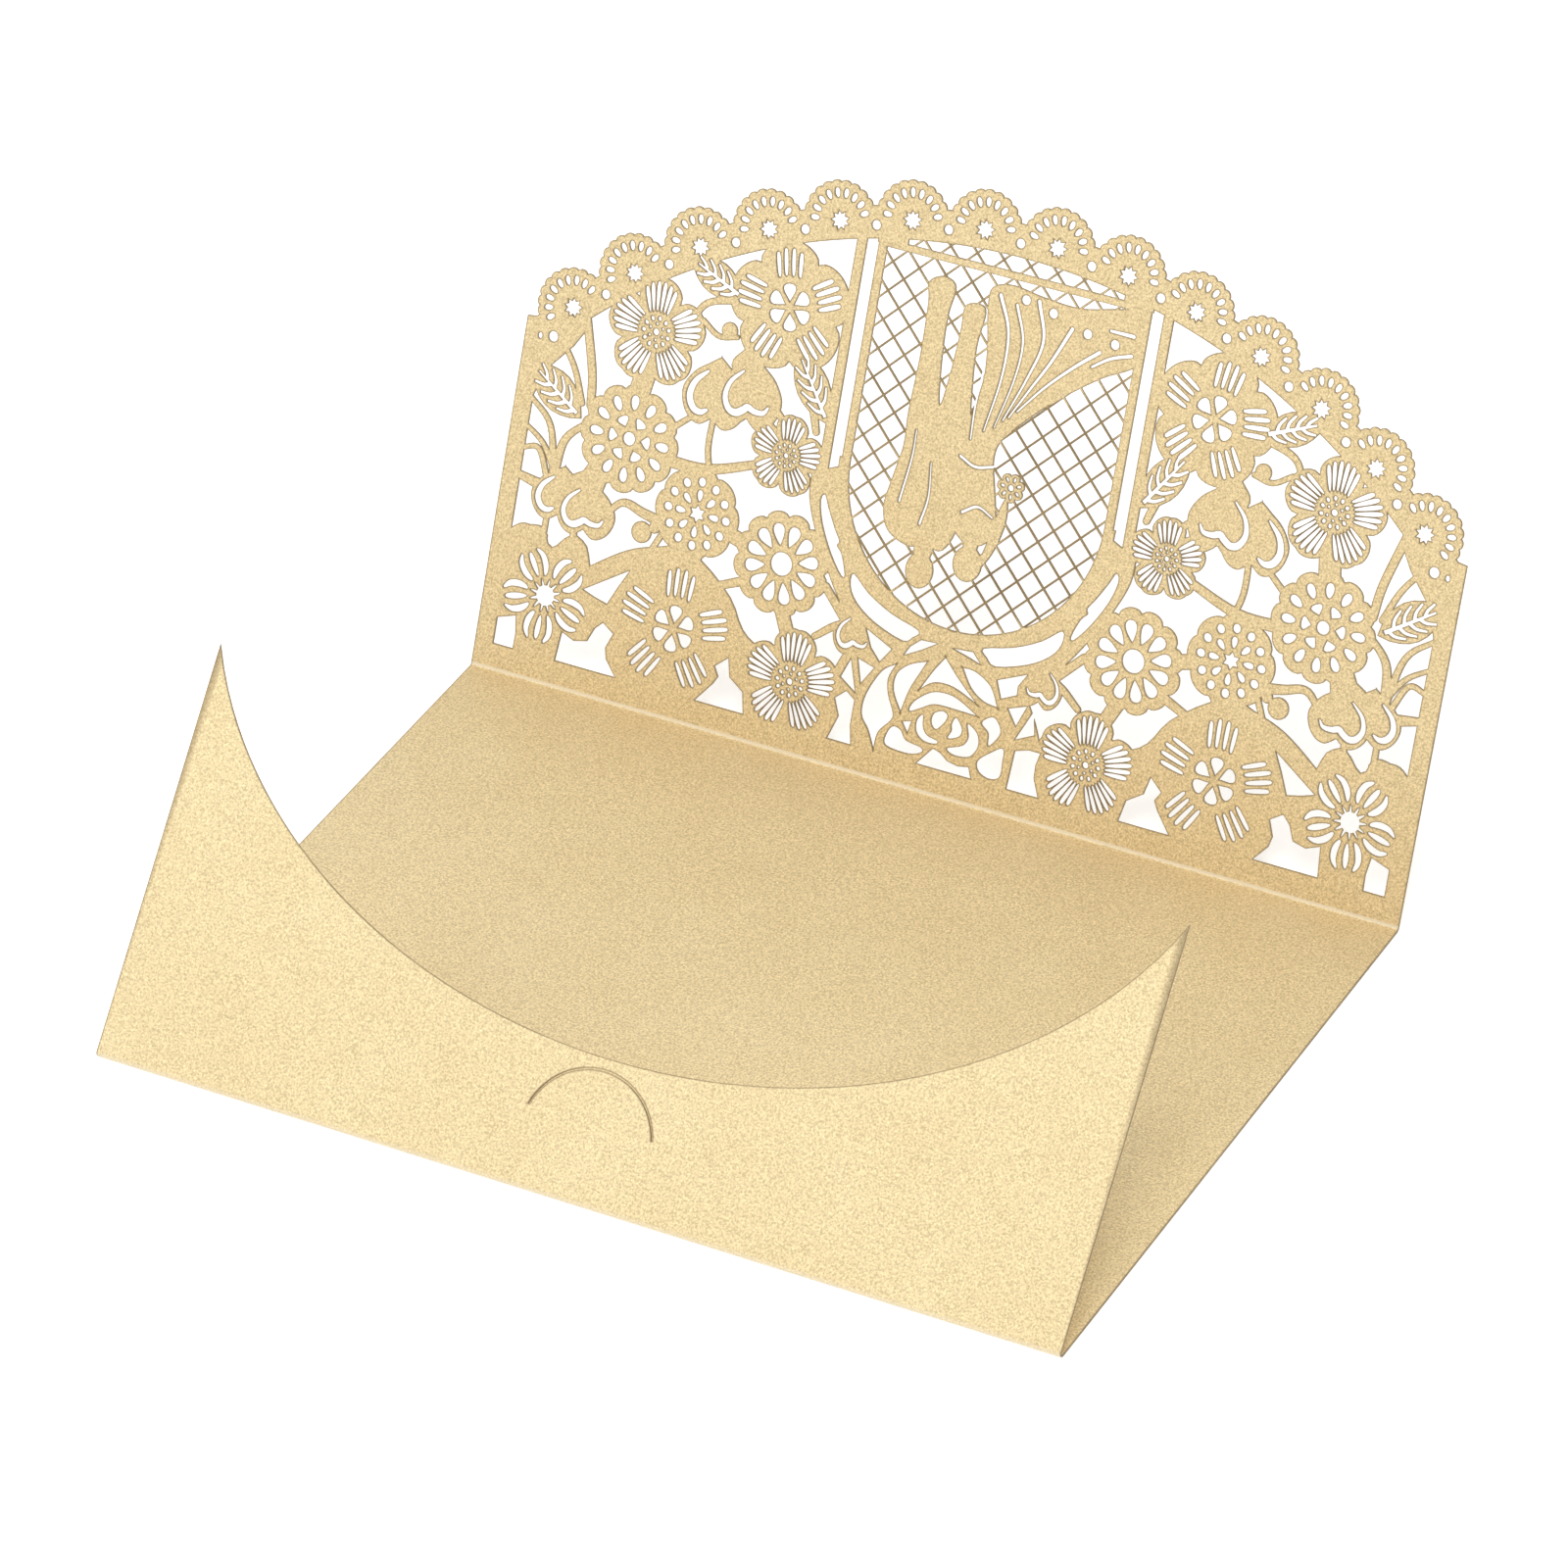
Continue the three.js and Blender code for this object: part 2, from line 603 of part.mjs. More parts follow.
function sheetSection() {
  const outer = [
    ...arc(laceFold, outerRadius, 270, backFace, foldSteps),
    ...arc(pocketFold, outerRadius, backFace, pocketFace, 2 * foldSteps),
  ];
  const inner = [
    ...arc(pocketFold, foldRadius, pocketFace, backFace, 2 * foldSteps),
    ...arc(laceFold, foldRadius, backFace, 270, foldSteps),
  ];
  outer[0].y = 0;
  inner.at(-1).y = paperThickness;
  return [
    point(laceStub, 0), ...outer, outer.at(-1).clone().add(pocketWay),
    inner[0].clone().add(pocketWay), ...inner, point(laceStub, paperThickness),
  ];
}

// Flat pocket work, X across and Y up the flap, set onto the pocket flap of the section
function ontoPocket(solid) {
  const geometry = geometryFrom(solid);
  geometry.translate(0, -outerRadius, -outerRadius);
  geometry.rotateX(radians(pocketFace - 90));
  geometry.translate(0, pocketFold.x, pocketFold.y);
  return solidOf(geometry);
}

function foldedSheet() {
  const band = extrude(sheetSection(), cardWidth, -halfWidth);
  // The section was drawn in X and Y: turn it so that its run lies along Y and its height along Z
  band.applyMatrix4(new THREE.Matrix4().set(0, 0, 1, 0, 1, 0, 0, 0, 0, 1, 0, 0, 0, 0, 0, 1));
  const lace = solidOf(geometryFrom(lacePlate()).translate(0, -bendSetback, 0));
  const sheet = geometryFrom(solidOf(band).subtract(ontoPocket(pocketCutter())).add(lace));
  // Lay the back panel flat, with its middle at the origin
  sheet.translate(0, 0, -outerRadius);
  sheet.rotateX(radians(laceAngle));
  sheet.translate(0, backHeight / 2 - bendSetback, outerRadius);
  return sheet;
}

const pearlPaper = new THREE.MeshStandardMaterial({ color: 0xe3c68a, roughness: 0.55, metalness: 0.15 });
const group = new THREE.Group();
const sheet = new THREE.Mesh(foldedSheet(), pearlPaper);
sheet.name = 'folded_sheet';
group.add(sheet);

export default group;
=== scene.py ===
import math
import bpy
import numpy as np
from mathutils import Matrix, Vector
from mathutils.geometry import delaunay_2d_cdt
from mathutils.kdtree import KDTree


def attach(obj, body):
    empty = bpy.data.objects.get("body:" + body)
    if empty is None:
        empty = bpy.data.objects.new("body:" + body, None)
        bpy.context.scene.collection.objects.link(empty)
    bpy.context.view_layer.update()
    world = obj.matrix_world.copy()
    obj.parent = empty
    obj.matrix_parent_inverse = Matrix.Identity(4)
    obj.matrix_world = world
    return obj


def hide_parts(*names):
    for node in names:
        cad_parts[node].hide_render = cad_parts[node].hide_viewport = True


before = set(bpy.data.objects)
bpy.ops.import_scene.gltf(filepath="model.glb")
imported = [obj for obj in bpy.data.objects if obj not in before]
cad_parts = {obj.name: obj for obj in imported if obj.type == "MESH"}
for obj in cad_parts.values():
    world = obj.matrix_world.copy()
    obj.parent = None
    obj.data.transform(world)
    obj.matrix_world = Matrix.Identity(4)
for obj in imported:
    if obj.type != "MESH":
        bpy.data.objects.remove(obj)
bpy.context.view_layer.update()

mm = 0.001

# Camera, at the angle of the photograph
cameraSizes = {
    "place": (0.62541, -1.05905, 0.9409),
    "azimuth": 30.215,
    "elevation": 36.103,
    "roll": 2.871,
    "lens": 208.27,
}


def makeCamera(sizes):
    az, el = math.radians(sizes["azimuth"]), math.radians(sizes["elevation"])
    back = Vector((math.sin(az) * math.cos(el), -math.cos(az) * math.cos(el), math.sin(el)))
    right = (-back).cross(Vector((0, 0, 1))).normalized()
    down = (-back).cross(right)
    c, s = math.cos(math.radians(sizes["roll"])), math.sin(math.radians(sizes["roll"]))
    across = right * c + down * s
    below = down * c - right * s
    data = bpy.data.cameras.new("camera")
    data.lens = sizes["lens"]
    data.sensor_width = 36
    data.clip_start, data.clip_end = 0.05, 20
    camera = bpy.data.objects.new("camera", data)
    turn = Matrix((across, -below, back)).transposed().to_4x4()
    camera.matrix_world = Matrix.Translation(sizes["place"]) @ turn
    bpy.context.scene.collection.objects.link(camera)
    bpy.context.scene.camera = camera


makeCamera(cameraSizes)
print("camera made")

# The folded sheet: all its sizes, in millimetres and degrees
sheetSizes = {
    "width": 184.0,
    "backHeight": 127.0,
    "thickness": 0.3,
    "foldRadius": 0.5,
    "pocketAngle": 48.0,
    "laceAngle": 65.0,
    "foldLines": 6,
    "rim": 0.28,             # width of the browned edge beside each cut
    "uvShift": (100, 300),   # keeps the UV map's numbers positive
}
halfWidth = sheetSizes["width"] / 2
outerRadius = sheetSizes["foldRadius"] + sheetSizes["thickness"]
setback = outerRadius * math.tan(math.radians(sheetSizes["laceAngle"] / 2))
laceBend = math.radians(sheetSizes["laceAngle"])
pocketBend = math.radians(180 - sheetSizes["pocketAngle"])
# Height up the flat sheet, measured from the lace fold, where each flat run begins and ends
laceFrom = setback
backTo = laceFrom - outerRadius * laceBend
backFrom = backTo - (sheetSizes["backHeight"] - setback - outerRadius)
pocketTo = backFrom - outerRadius * pocketBend


def polar(x, y, radius, degrees):
    a = math.radians(degrees)
    return (x + radius * math.cos(a), y + radius * math.sin(a))


def arc(x, y, radius, first, last, steps):
    return [polar(x, y, radius, first + (last - first) * i / steps) for i in range(steps + 1)]


def mirrored(outline):
    return [(-x, y) for x, y in outline]


def disc(x, y, radius, sides=20, stretch=1.0):
    return [(x + px, y + py * stretch) for px, py in arc(0, 0, radius, 0, 360, sides)[:-1]]


# A smooth line through the points
def smooth(points, steps=6, closed=True):
    n = len(points)
    p = np.array(points, float)
    out = []
    for i in range(n if closed else n - 1):
        if closed:
            a, b, c, d = p[i - 1], p[i], p[(i + 1) % n], p[(i + 2) % n]
        else:
            b, c = p[i], p[i + 1]
            a = p[i - 1] if i else 2 * b - c
            d = p[i + 2] if i + 2 < n else 2 * c - b
        for k in range(steps):
            t = k / steps
            q = 0.5 * (2 * b + (c - a) * t + (2 * a - 5 * b + 4 * c - d) * t * t
                       + (3 * b - a - 3 * c + d) * t ** 3)
            out.append((q[0], q[1]))
    if not closed:
        out.append((p[-1][0], p[-1][1]))
    return out


# An outline of even or tapering width along a smooth route
def ribbon(route, width, tip=None, steps=6, ends=False):
    tip = width if tip is None else tip
    line = np.array(smooth(route, steps, False) if len(route) > 2 else route, float)
    along = np.gradient(line, axis=0)
    along /= np.linalg.norm(along, axis=1)[:, None]
    half = np.linspace(width, tip, len(line))[:, None] / 2
    side = np.stack([-along[:, 1], along[:, 0]], axis=1) * half
    left, right = line + side, line - side
    if not ends:
        return [tuple(p) for p in left] + [tuple(p) for p in right[::-1]]
    # A round end at each tip
    out = [tuple(p) for p in left]
    turn = math.degrees(math.atan2(along[-1][1], along[-1][0]))
    out += arc(line[-1][0], line[-1][1], half[-1][0], turn + 70, turn - 70, 5)
    out += [tuple(p) for p in right[::-1]]
    turn = math.degrees(math.atan2(-along[0][1], -along[0][0]))
    out += arc(line[0][0], line[0][1], half[0][0], turn + 70, turn - 70, 5)
    return out


# A cut along a line, widest at its middle and pointed at its ends
def bowCut(line, width):
    p = np.array(line, float)
    along = np.gradient(p, axis=0)
    along /= np.linalg.norm(along, axis=1)[:, None] + 1e-9
    share = np.linspace(0.02, 0.98, len(p))
    half = (width / 2 * np.sin(math.pi * share) ** 0.5)[:, None]
    side = np.stack([-along[:, 1], along[:, 0]], axis=1) * half
    return [tuple(q) for q in p + side] + [tuple(q) for q in (p - side)[::-1]]


# A flower's outline: round lobes, with a small dip at each petal's middle
def rosette(x, y, radius, depth, petals, turn, steps=16, notch=0.0):
    out = []
    for i in range(petals * steps):
        share = i / steps
        phase = (share + 0.5) % 1 - 0.5
        swell = abs(math.cos(math.pi * share)) ** 0.6
        dip = notch * math.exp(-(phase / 0.07) ** 2)
        out.append(polar(x, y, radius - depth * (1 - swell) - dip, turn + 360 * share / petals))
    return out


def leafOutline(stalk, tip, width, steps=8):
    a, b = np.array(stalk, float), np.array(tip, float)
    along = b - a
    side = np.array([-along[1], along[0]]) / np.linalg.norm(along)
    out = []
    for hand, way in ((1, 1), (-1, -1)):
        for i in range(steps):
            t = i / steps if way > 0 else 1 - i / steps
            out.append(tuple(a + along * t + side * hand * width / 2 * math.sin(math.pi * t) ** 0.8))
    return out


def heartOutline(x, y, width, height):
    half = [(0.16, 0.38), (0.36, 0.22), (0.5, -0.03), (0.46, -0.28), (0.33, -0.45), (0.18, -0.5), (0.06, -0.43)]
    around = [(0, 0.5), (0, 0.5)] + half + [(0, -0.38)] + [(-a, b) for a, b in half[::-1]]
    return smooth([(x + a * width, y + b * height) for a, b in around], 4)


# Adds nodes to a tree; a plain number or colour goes on the socket itself
class treeMaker:
    def __init__(self, tree):
        self.tree = tree

    def node(self, kind, **settings):
        made = self.tree.nodes.new(kind)
        for key, setting in settings.items():
            setattr(made, key, setting)
        return made

    def put(self, source, target):
        if isinstance(source, tuple):
            target.default_value = (*source, 1)
        elif isinstance(source, (int, float)):
            target.default_value = source
        else:
            self.tree.links.new(source, target)

    def maths(self, operation, first, second=None):
        made = self.node("ShaderNodeMath", operation=operation)
        self.put(first, made.inputs[0])
        if second is not None:
            self.put(second, made.inputs[1])
        return made.outputs[0]

    def plus(self, first, second):
        return self.maths("ADD", first, second)

    def minus(self, first, second):
        return self.maths("SUBTRACT", first, second)

    def times(self, first, second):
        return self.maths("MULTIPLY", first, second)


# Inputs that are whole numbers
wholeNumbers = ("petals", "slits", "sides", "scallops", "threads")


# Geometry nodes for what repeats in the lace
class laceMaker(treeMaker):
    def __init__(self, name):
        super().__init__(bpy.data.node_groups.new(name, "GeometryNodeTree"))
        self.start = self.node("NodeGroupInput")
        self.end = self.node("NodeGroupOutput")

    def value(self, name, default):
        kind = "NodeSocketInt" if name in wholeNumbers else "NodeSocketFloat"
        socket = self.tree.interface.new_socket(name, in_out="INPUT", socket_type=kind)
        socket.default_value = default
        return self.start.outputs[name]

    def vector(self, x, y, z=0.0):
        made = self.node("ShaderNodeCombineXYZ")
        for value, target in zip((x, y, z), made.inputs):
            self.put(value, target)
        return made.outputs[0]

    # A row of points at a place worked out from each one's index
    def spots(self, count, place):
        line = self.node("GeometryNodeMeshLine")
        self.put(count, line.inputs["Count"])
        return self.moved(line.outputs["Mesh"], place)

    def moved(self, geometry, place):
        made = self.node("GeometryNodeSetPosition")
        self.put(geometry, made.inputs["Geometry"])
        self.put(place, made.inputs["Position"])
        return made.outputs["Geometry"]

    def repeated(self, shape, points, turn, scale=None):
        made = self.node("GeometryNodeInstanceOnPoints")
        self.put(points, made.inputs["Points"])
        self.put(shape, made.inputs["Instance"])
        self.put(self.vector(0.0, 0.0, turn), made.inputs["Rotation"])
        if scale is not None:
            self.put(scale, made.inputs["Scale"])
        return made.outputs["Instances"]

    # Ends the tree in Realize Instances and Set Material
    def finish(self, geometry):
        self.tree.interface.new_socket("Geometry", in_out="OUTPUT", socket_type="NodeSocketGeometry")
        self.tree.interface.new_socket("Paper", in_out="INPUT", socket_type="NodeSocketMaterial")
        real = self.node("GeometryNodeRealizeInstances")
        coat = self.node("GeometryNodeSetMaterial")
        self.put(geometry, real.inputs["Geometry"])
        self.put(real.outputs["Geometry"], coat.inputs["Geometry"])
        self.put(self.start.outputs["Paper"], coat.inputs["Material"])
        self.put(coat.outputs["Geometry"], self.end.inputs["Geometry"])
        return self.tree


# Cuts in groups round a centre: petals, with several slits in each
def ringTree():
    t = laceMaker("ringOfCuts")
    x, y = t.value("x", 0.0), t.value("y", 0.0)
    petals = t.value("petals", 5)
    slits = t.value("slits", 6)
    turn = t.value("turn", 90.0)
    pitch = t.value("pitch", 8.0)
    radius = t.value("radius", 6.0)
    bow = t.value("bow", 0.0)
    length, width = t.value("length", 5.0), t.value("width", 0.8)
    taper = t.value("taper", 0.0)
    parallel = t.value("parallel", 0.0)
    squareness = t.value("square", 1.0)
    sides = t.value("sides", 16)
    index = t.node("GeometryNodeInputIndex").outputs[0]
    petal = t.maths("FLOOR", t.maths("DIVIDE", t.plus(index, 0.001), slits))
    slit = t.minus(index, t.times(petal, slits))
    fromMiddle = t.minus(slit, t.times(t.minus(slits, 1), 0.5))
    petalStep = t.maths("DIVIDE", 360.0, petals)
    degrees = t.plus(t.plus(turn, t.times(petal, petalStep)), t.times(fromMiddle, pitch))
    angle = t.maths("RADIANS", degrees)
    # Slits away from the petal's middle sit nearer the centre and are shorter
    spread = t.times(t.times(fromMiddle, fromMiddle), bow)
    reach = t.minus(radius, t.times(spread, 0.5))
    place = t.vector(t.plus(x, t.times(reach, t.maths("COSINE", angle))),
                     t.plus(y, t.times(reach, t.maths("SINE", angle))))
    points = t.spots(t.times(petals, slits), place)
    # One cut: a round outline, drawn out along its length and narrowed towards the centre
    ring = t.node("GeometryNodeMeshCircle", fill_type="NGON")
    t.put(sides, ring.inputs["Vertices"])
    t.put(1.0, ring.inputs["Radius"])
    here = t.node("GeometryNodeInputPosition").outputs[0]
    split = t.node("ShaderNodeSeparateXYZ")
    t.put(here, split.inputs[0])
    slim = t.plus(1.0, t.times(split.outputs[0], taper))
    full = t.times(t.maths("SIGN", split.outputs[1]),
                   t.maths("POWER", t.maths("ABSOLUTE", split.outputs[1]), squareness))
    sideways = t.times(t.times(full, slim), t.times(width, 0.5))
    shaped = t.vector(t.times(split.outputs[0], t.times(length, 0.5)), sideways)
    cut = t.moved(ring.outputs["Mesh"], shaped)
    fanned = t.maths("RADIANS", t.times(fromMiddle, pitch))
    way = t.minus(angle, t.times(fanned, parallel))
    short = t.minus(1.0, t.maths("DIVIDE", spread, length))
    return t.finish(t.repeated(cut, points, way, t.vector(short, 1.0, 1.0)))


# The fan of cuts in one scallop, repeated along the great arc
def scallopTree(fanCuts):
    t = laceMaker("scallopCuts")
    count = t.value("scallops", 14)
    step, radius, drop = t.value("Step", 6.5), t.value("Arc radius", 123.7), t.value("Arc drop", 23.0)
    group = t.node("GeometryNodeGroup", node_tree=fanCuts)
    for name in ("petals", "slits", "turn", "pitch", "radius", "length", "width", "taper", "sides"):
        t.put(t.value(name, 1), group.inputs[name])
    index = t.node("GeometryNodeInputIndex").outputs[0]
    middle = t.times(t.minus(count, 1), 0.5)
    degrees = t.plus(90.0, t.times(t.minus(index, middle), step))
    angle = t.maths("RADIANS", degrees)
    place = t.vector(t.times(radius, t.maths("COSINE", angle)),
                     t.minus(t.times(radius, t.maths("SINE", angle)), drop))
    return t.finish(t.repeated(group.outputs["Geometry"], t.spots(count, place), angle))


# Two crossing sets of slanting threads
def latticeTree():
    t = laceMaker("latticeThreads")
    count, pitch = t.value("threads", 60), t.value("Pitch", 5.2)
    width, length = t.value("Thread width", 0.42), t.value("Thread length", 300.0)
    middle = t.value("Middle height", 45.0)
    join = t.node("GeometryNodeJoinGeometry")
    index = t.node("GeometryNodeInputIndex").outputs[0]
    across = t.times(t.minus(index, t.times(t.minus(count, 1), 0.5)), pitch)
    for slant in (45, -45):
        thread = t.node("GeometryNodeMeshGrid")
        t.put(length, thread.inputs["Size X"])
        t.put(width, thread.inputs["Size Y"])
        t.put(2, thread.inputs["Vertices X"])
        t.put(2, thread.inputs["Vertices Y"])
        points = t.spots(count, t.vector(across, middle))
        t.put(t.repeated(thread.outputs["Mesh"], points, math.radians(slant)), join.inputs["Geometry"])
    return t.finish(join.outputs["Geometry"])


# The outlines that a tree draws, as lists of points in the flat sheet
def runTree(tree, values):
    mesh = bpy.data.meshes.new(tree.name)
    carrier = bpy.data.objects.new(tree.name, mesh)
    bpy.context.scene.collection.objects.link(carrier)
    modifier = carrier.modifiers.new("nodes", "NODES")
    modifier.node_group = tree
    for item in tree.interface.items_tree:
        if item.item_type == "SOCKET" and item.in_out == "INPUT":
            if item.name == "Paper":
                modifier[item.identifier] = pearlPaper
            elif item.name in values:
                modifier[item.identifier] = values[item.name]
    ready = carrier.evaluated_get(bpy.context.evaluated_depsgraph_get())
    plain = bpy.data.meshes.new_from_object(ready)
    carrier.modifiers.remove(modifier)
    outlines = [[tuple(plain.vertices[v].co[:2]) for v in face.vertices] for face in plain.polygons]
    bpy.data.objects.remove(carrier)
    bpy.data.meshes.remove(mesh)
    bpy.data.meshes.remove(plain)
    return outlines


# Materials
paperLook = {
    "gold": (0.80, 0.632, 0.355),
    "warm": (0.835, 0.68, 0.402),
    # painted shade on the back panel by the lace fold
    "foldShade": (0.60, 0.42, 0.20),
    "burnt": (0.18, 0.115, 0.045),
    # pale crease along the folds, partly a painted highlight
    "creaseAndHighlight": (0.96, 0.88, 0.70),
    # painted shade on the lace towards its fold
    "shade": (0.90, 0.87, 0.82),
    # painted light on the back panel towards the pocket
    "paintedLight": (1.1, 1.13, 1.17),
    # Scale, detail and roughness of each noise
    "clouds": (55, 4, 0.6),
    "grain": (2600, 2, 0.6),
    "sparkle": (5200, 1, 0.5),
    "felt": (700, 3, 0.5),
    "Metallic": 0.28,
    "Sheen Weight": 0.12,
    "Sheen Roughness": 0.4,
    "Sheen Tint": (1.0, 0.93, 0.76),
}


# Pearl paper: gold with painted glints for its fine sparkle, browned beside each laser cut, pale along the folds
# from the crease and a painted highlight, with painted shade and painted light near the folds
def paperMaterial(look):
    made = bpy.data.materials.new("pearlPaper")
    made.use_nodes = True
    t = treeMaker(made.node_tree)
    shader = made.node_tree.nodes["Principled BSDF"]
    for name in ("Metallic", "Sheen Weight", "Sheen Roughness", "Sheen Tint"):
        t.put(look[name], shader.inputs[name])
    place = t.node("ShaderNodeTexCoord").outputs["Object"]

    def noise(scale, detail, rough):
        made = t.node("ShaderNodeTexNoise")
        for name, value in (("Vector", place), ("Scale", scale), ("Detail", detail), ("Roughness", rough)):
            t.put(value, made.inputs[name])
        return made.outputs["Fac"]

    def ramp(source, stops):
        made = t.node("ShaderNodeValToRGB")
        line = made.color_ramp.elements
        line[0].position, line[1].position = stops[0][0], stops[-1][0]
        line[0].color, line[1].color = (*stops[0][1], 1), (*stops[-1][1], 1)
        for position, colour in stops[1:-1]:
            line.new(position).color = (*colour, 1)
        t.put(source, made.inputs["Fac"])
        return made.outputs["Color"]

    def blend(share, first, second, kind="MIX"):
        made = t.node("ShaderNodeMix", data_type="RGBA", blend_type=kind)
        for source, target in ((share, 0), (first, 6), (second, 7)):
            t.put(source, made.inputs[target])
        return made.outputs[2]

    # 1 less the value, and 0 where the value is past 1
    def fade(value):
        return t.minus(1.0, t.maths("MINIMUM", value, 1.0))

    clouds, grain, sparkle, felt = (noise(*look[name]) for name in ("clouds", "grain", "sparkle", "felt"))
    body = ramp(clouds, [(0.2, look["gold"]), (0.8, look["warm"])])
    speck = ramp(grain, [(0.34, (0.74, 0.71, 0.63)), (0.50, (0.98, 0.975, 0.96)), (0.68, (1.2, 1.2, 1.18))])
    colour = blend(1.0, body, speck, "MULTIPLY")
    # Painted glints: sparse bright specks added to the colour for the pearl sparkle
    glint = ramp(sparkle, [(0.66, (0, 0, 0)), (0.76, (0.35, 0.32, 0.26))])
    colour = blend(1.0, colour, glint, "ADD")
    # The folds are painted pale, partly the pressed crease and partly a painted highlight where the fold catches
    # the light: middle, half the width in millimetres, strength
    split = t.node("ShaderNodeSeparateXYZ")
    t.put(t.node("ShaderNodeUVMap", uv_map="flatSheet").outputs["UV"], split.inputs[0])
    height = t.minus(t.times(split.outputs[1], 1 / mm), sheetSizes["uvShift"][1])
    for middle, half, strength in ((0.55, 0.45, 0.85), (0.5 * (backFrom + pocketTo), 0.9, 0.35)):
        away = t.maths("DIVIDE", t.maths("ABSOLUTE", t.minus(height, middle)), half)
        colour = blend(t.times(fade(t.maths("POWER", away, 3.0)), strength), colour, look["creaseAndHighlight"])
    # Painted shade: the back panel darkens a little over 22 mm towards the lace fold
    near = t.times(fade(t.times(t.maths("ABSOLUTE", t.plus(height, 1.0)), 1 / 22)),
                   t.maths("LESS_THAN", height, 0.0))
    colour = blend(t.times(near, 0.3), colour, look["foldShade"])
    # Painted shade: the lace darkens over 34 mm towards its fold. Painted light: the back panel brightens towards
    # the pocket
    low = t.times(fade(t.times(height, 1 / 34)), t.maths("GREATER_THAN", height, 0.0))
    colour = blend(low, colour, look["shade"], "MULTIPLY")
    # Painted light: full on the back panel, less on the pocket flap
    paintedLightShare = t.maths("MINIMUM", t.maths("MAXIMUM", t.times(t.plus(height, 32.0), -1 / 70), 0.0), 1.0)
    paintedLightShare = t.times(paintedLightShare, t.plus(0.3, t.times(t.maths("GREATER_THAN", height, backFrom), 0.7)))
    colour = blend(paintedLightShare, colour, look["paintedLight"], "MULTIPLY")
    # The laser browns the cut wall and a hair's breadth of the face beside it
    heat = t.maths("POWER", t.node("ShaderNodeAttribute", attribute_name="burn").outputs["Fac"], 0.85)
    colour = blend(t.times(heat, t.plus(0.6, t.times(clouds, 0.55))), colour, look["burnt"])
    bump = t.node("ShaderNodeBump")
    t.put(0.22, bump.inputs["Strength"])
    t.put(0.00006, bump.inputs["Distance"])
    t.put(t.plus(grain, t.times(felt, 0.8)), bump.inputs["Height"])
    t.put(colour, shader.inputs["Base Color"])
    t.put(t.plus(0.40, t.times(grain, 0.22)), shader.inputs["Roughness"])
    t.put(bump.outputs["Normal"], shader.inputs["Normal"])
    return made


pearlPaper = paperMaterial(paperLook)
print("paper material made")

# The lace pattern, as flat outlines: sheets that stay, and cuts that go
stay, cuts, threads, windowShapes = [], [], [], []
ringOfCuts = ringTree()


# Each outline and its mirror image
def both(target, *outlines):
    for outline in outlines:
        target.append(outline)
        target.append(mirrored(outline))


# A ring of cuts round a flower's centre, one to a petal unless slits says more
def ring(x, y, **values):
    filled = {"x": x, "y": y, "slits": 1, "pitch": 0, **values}
    return runTree(ringOfCuts, {key: int(value) if key in wholeNumbers else float(value)
                                for key, value in filled.items()})


# The same ring on both halves of the flap
def bothRings(x, y, **values):
    both(cuts, *ring(x, y, **values))


borderSizes = {"side": 3.6, "foot": 5.0, "shoulder": 65.0}
# Scalloped edge
scallopSizes = {
    "count": 14, "arcRadius": 123.7, "arcDrop": 23.0, "radius": 7.2, "bandInside": 3.4,
    "bumps": 11, "lobeSteps": 88, "bump": 0.42, "valley": 2.5, "holes": 9, "holePitch": 20.0, "holeRing": 4.9,
    "holeLength": 1.75, "holeWidth": 1.0, "holeTaper": 0.12,
    "starTips": 9, "starRadius": 1.75, "starInner": 1.1, "valleyHole": 0.85, "valleyInside": 1.0,
}


def makeScallops(s):
    reach = math.degrees(math.asin((halfWidth - borderSizes["side"]) / s["arcRadius"]))
    step = 2 * reach / s["count"]
    inner = s["arcRadius"] - s["bandInside"]
    band = arc(0, -s["arcDrop"], inner, 90 + reach, 90 - reach, 84)
    outer = arc(0, -s["arcDrop"], s["arcRadius"] + s["valley"], 90 - reach, 90 + reach, 84)
    stay.append(band + outer)

    def onArc(radius, degrees):
        return polar(0, -s["arcDrop"], radius, degrees)

    for i in range(s["count"]):
        outward = 90 + step * (i - (s["count"] - 1) / 2)
        x, y = onArc(s["arcRadius"], outward)
        lobe = []
        for j in range(s["lobeSteps"] + 1):
            lean = 180 * (j / s["lobeSteps"] - 0.5)
            wave = abs(math.cos(math.pi * s["bumps"] * lean / 180)) ** 0.7
            lobe.append(polar(x, y, s["radius"] - s["bump"] * (1 - wave), outward + lean))
        lobe += [onArc(inner + 0.5, outward + step / 2), onArc(inner + 0.5, outward - step / 2)]
        stay.append(lobe)
        star = []
        for j in range(2 * s["starTips"]):
            r = s["starInner"] if j % 2 else s["starRadius"]
            star.append(polar(x, y, r, outward + 180 * j / s["starTips"]))
        cuts.append(star)
    for i in range(1, s["count"]):
        outward = 90 + step * (i - s["count"] / 2)
        x, y = onArc(s["arcRadius"] - s["valleyInside"], outward)
        cuts.append(disc(x, y, s["valleyHole"], 16))
    fans = scallopTree(ringOfCuts)
    cuts.extend(runTree(fans, {
        "scallops": s["count"], "Step": step, "Arc radius": s["arcRadius"], "Arc drop": s["arcDrop"],
        "petals": 1, "slits": s["holes"], "turn": 0.0, "pitch": s["holePitch"],
        "radius": s["holeRing"], "length": s["holeLength"], "width": s["holeWidth"],
        "taper": s["holeTaper"], "sides": 14}))


makeScallops(scallopSizes)
print("scallops drawn")

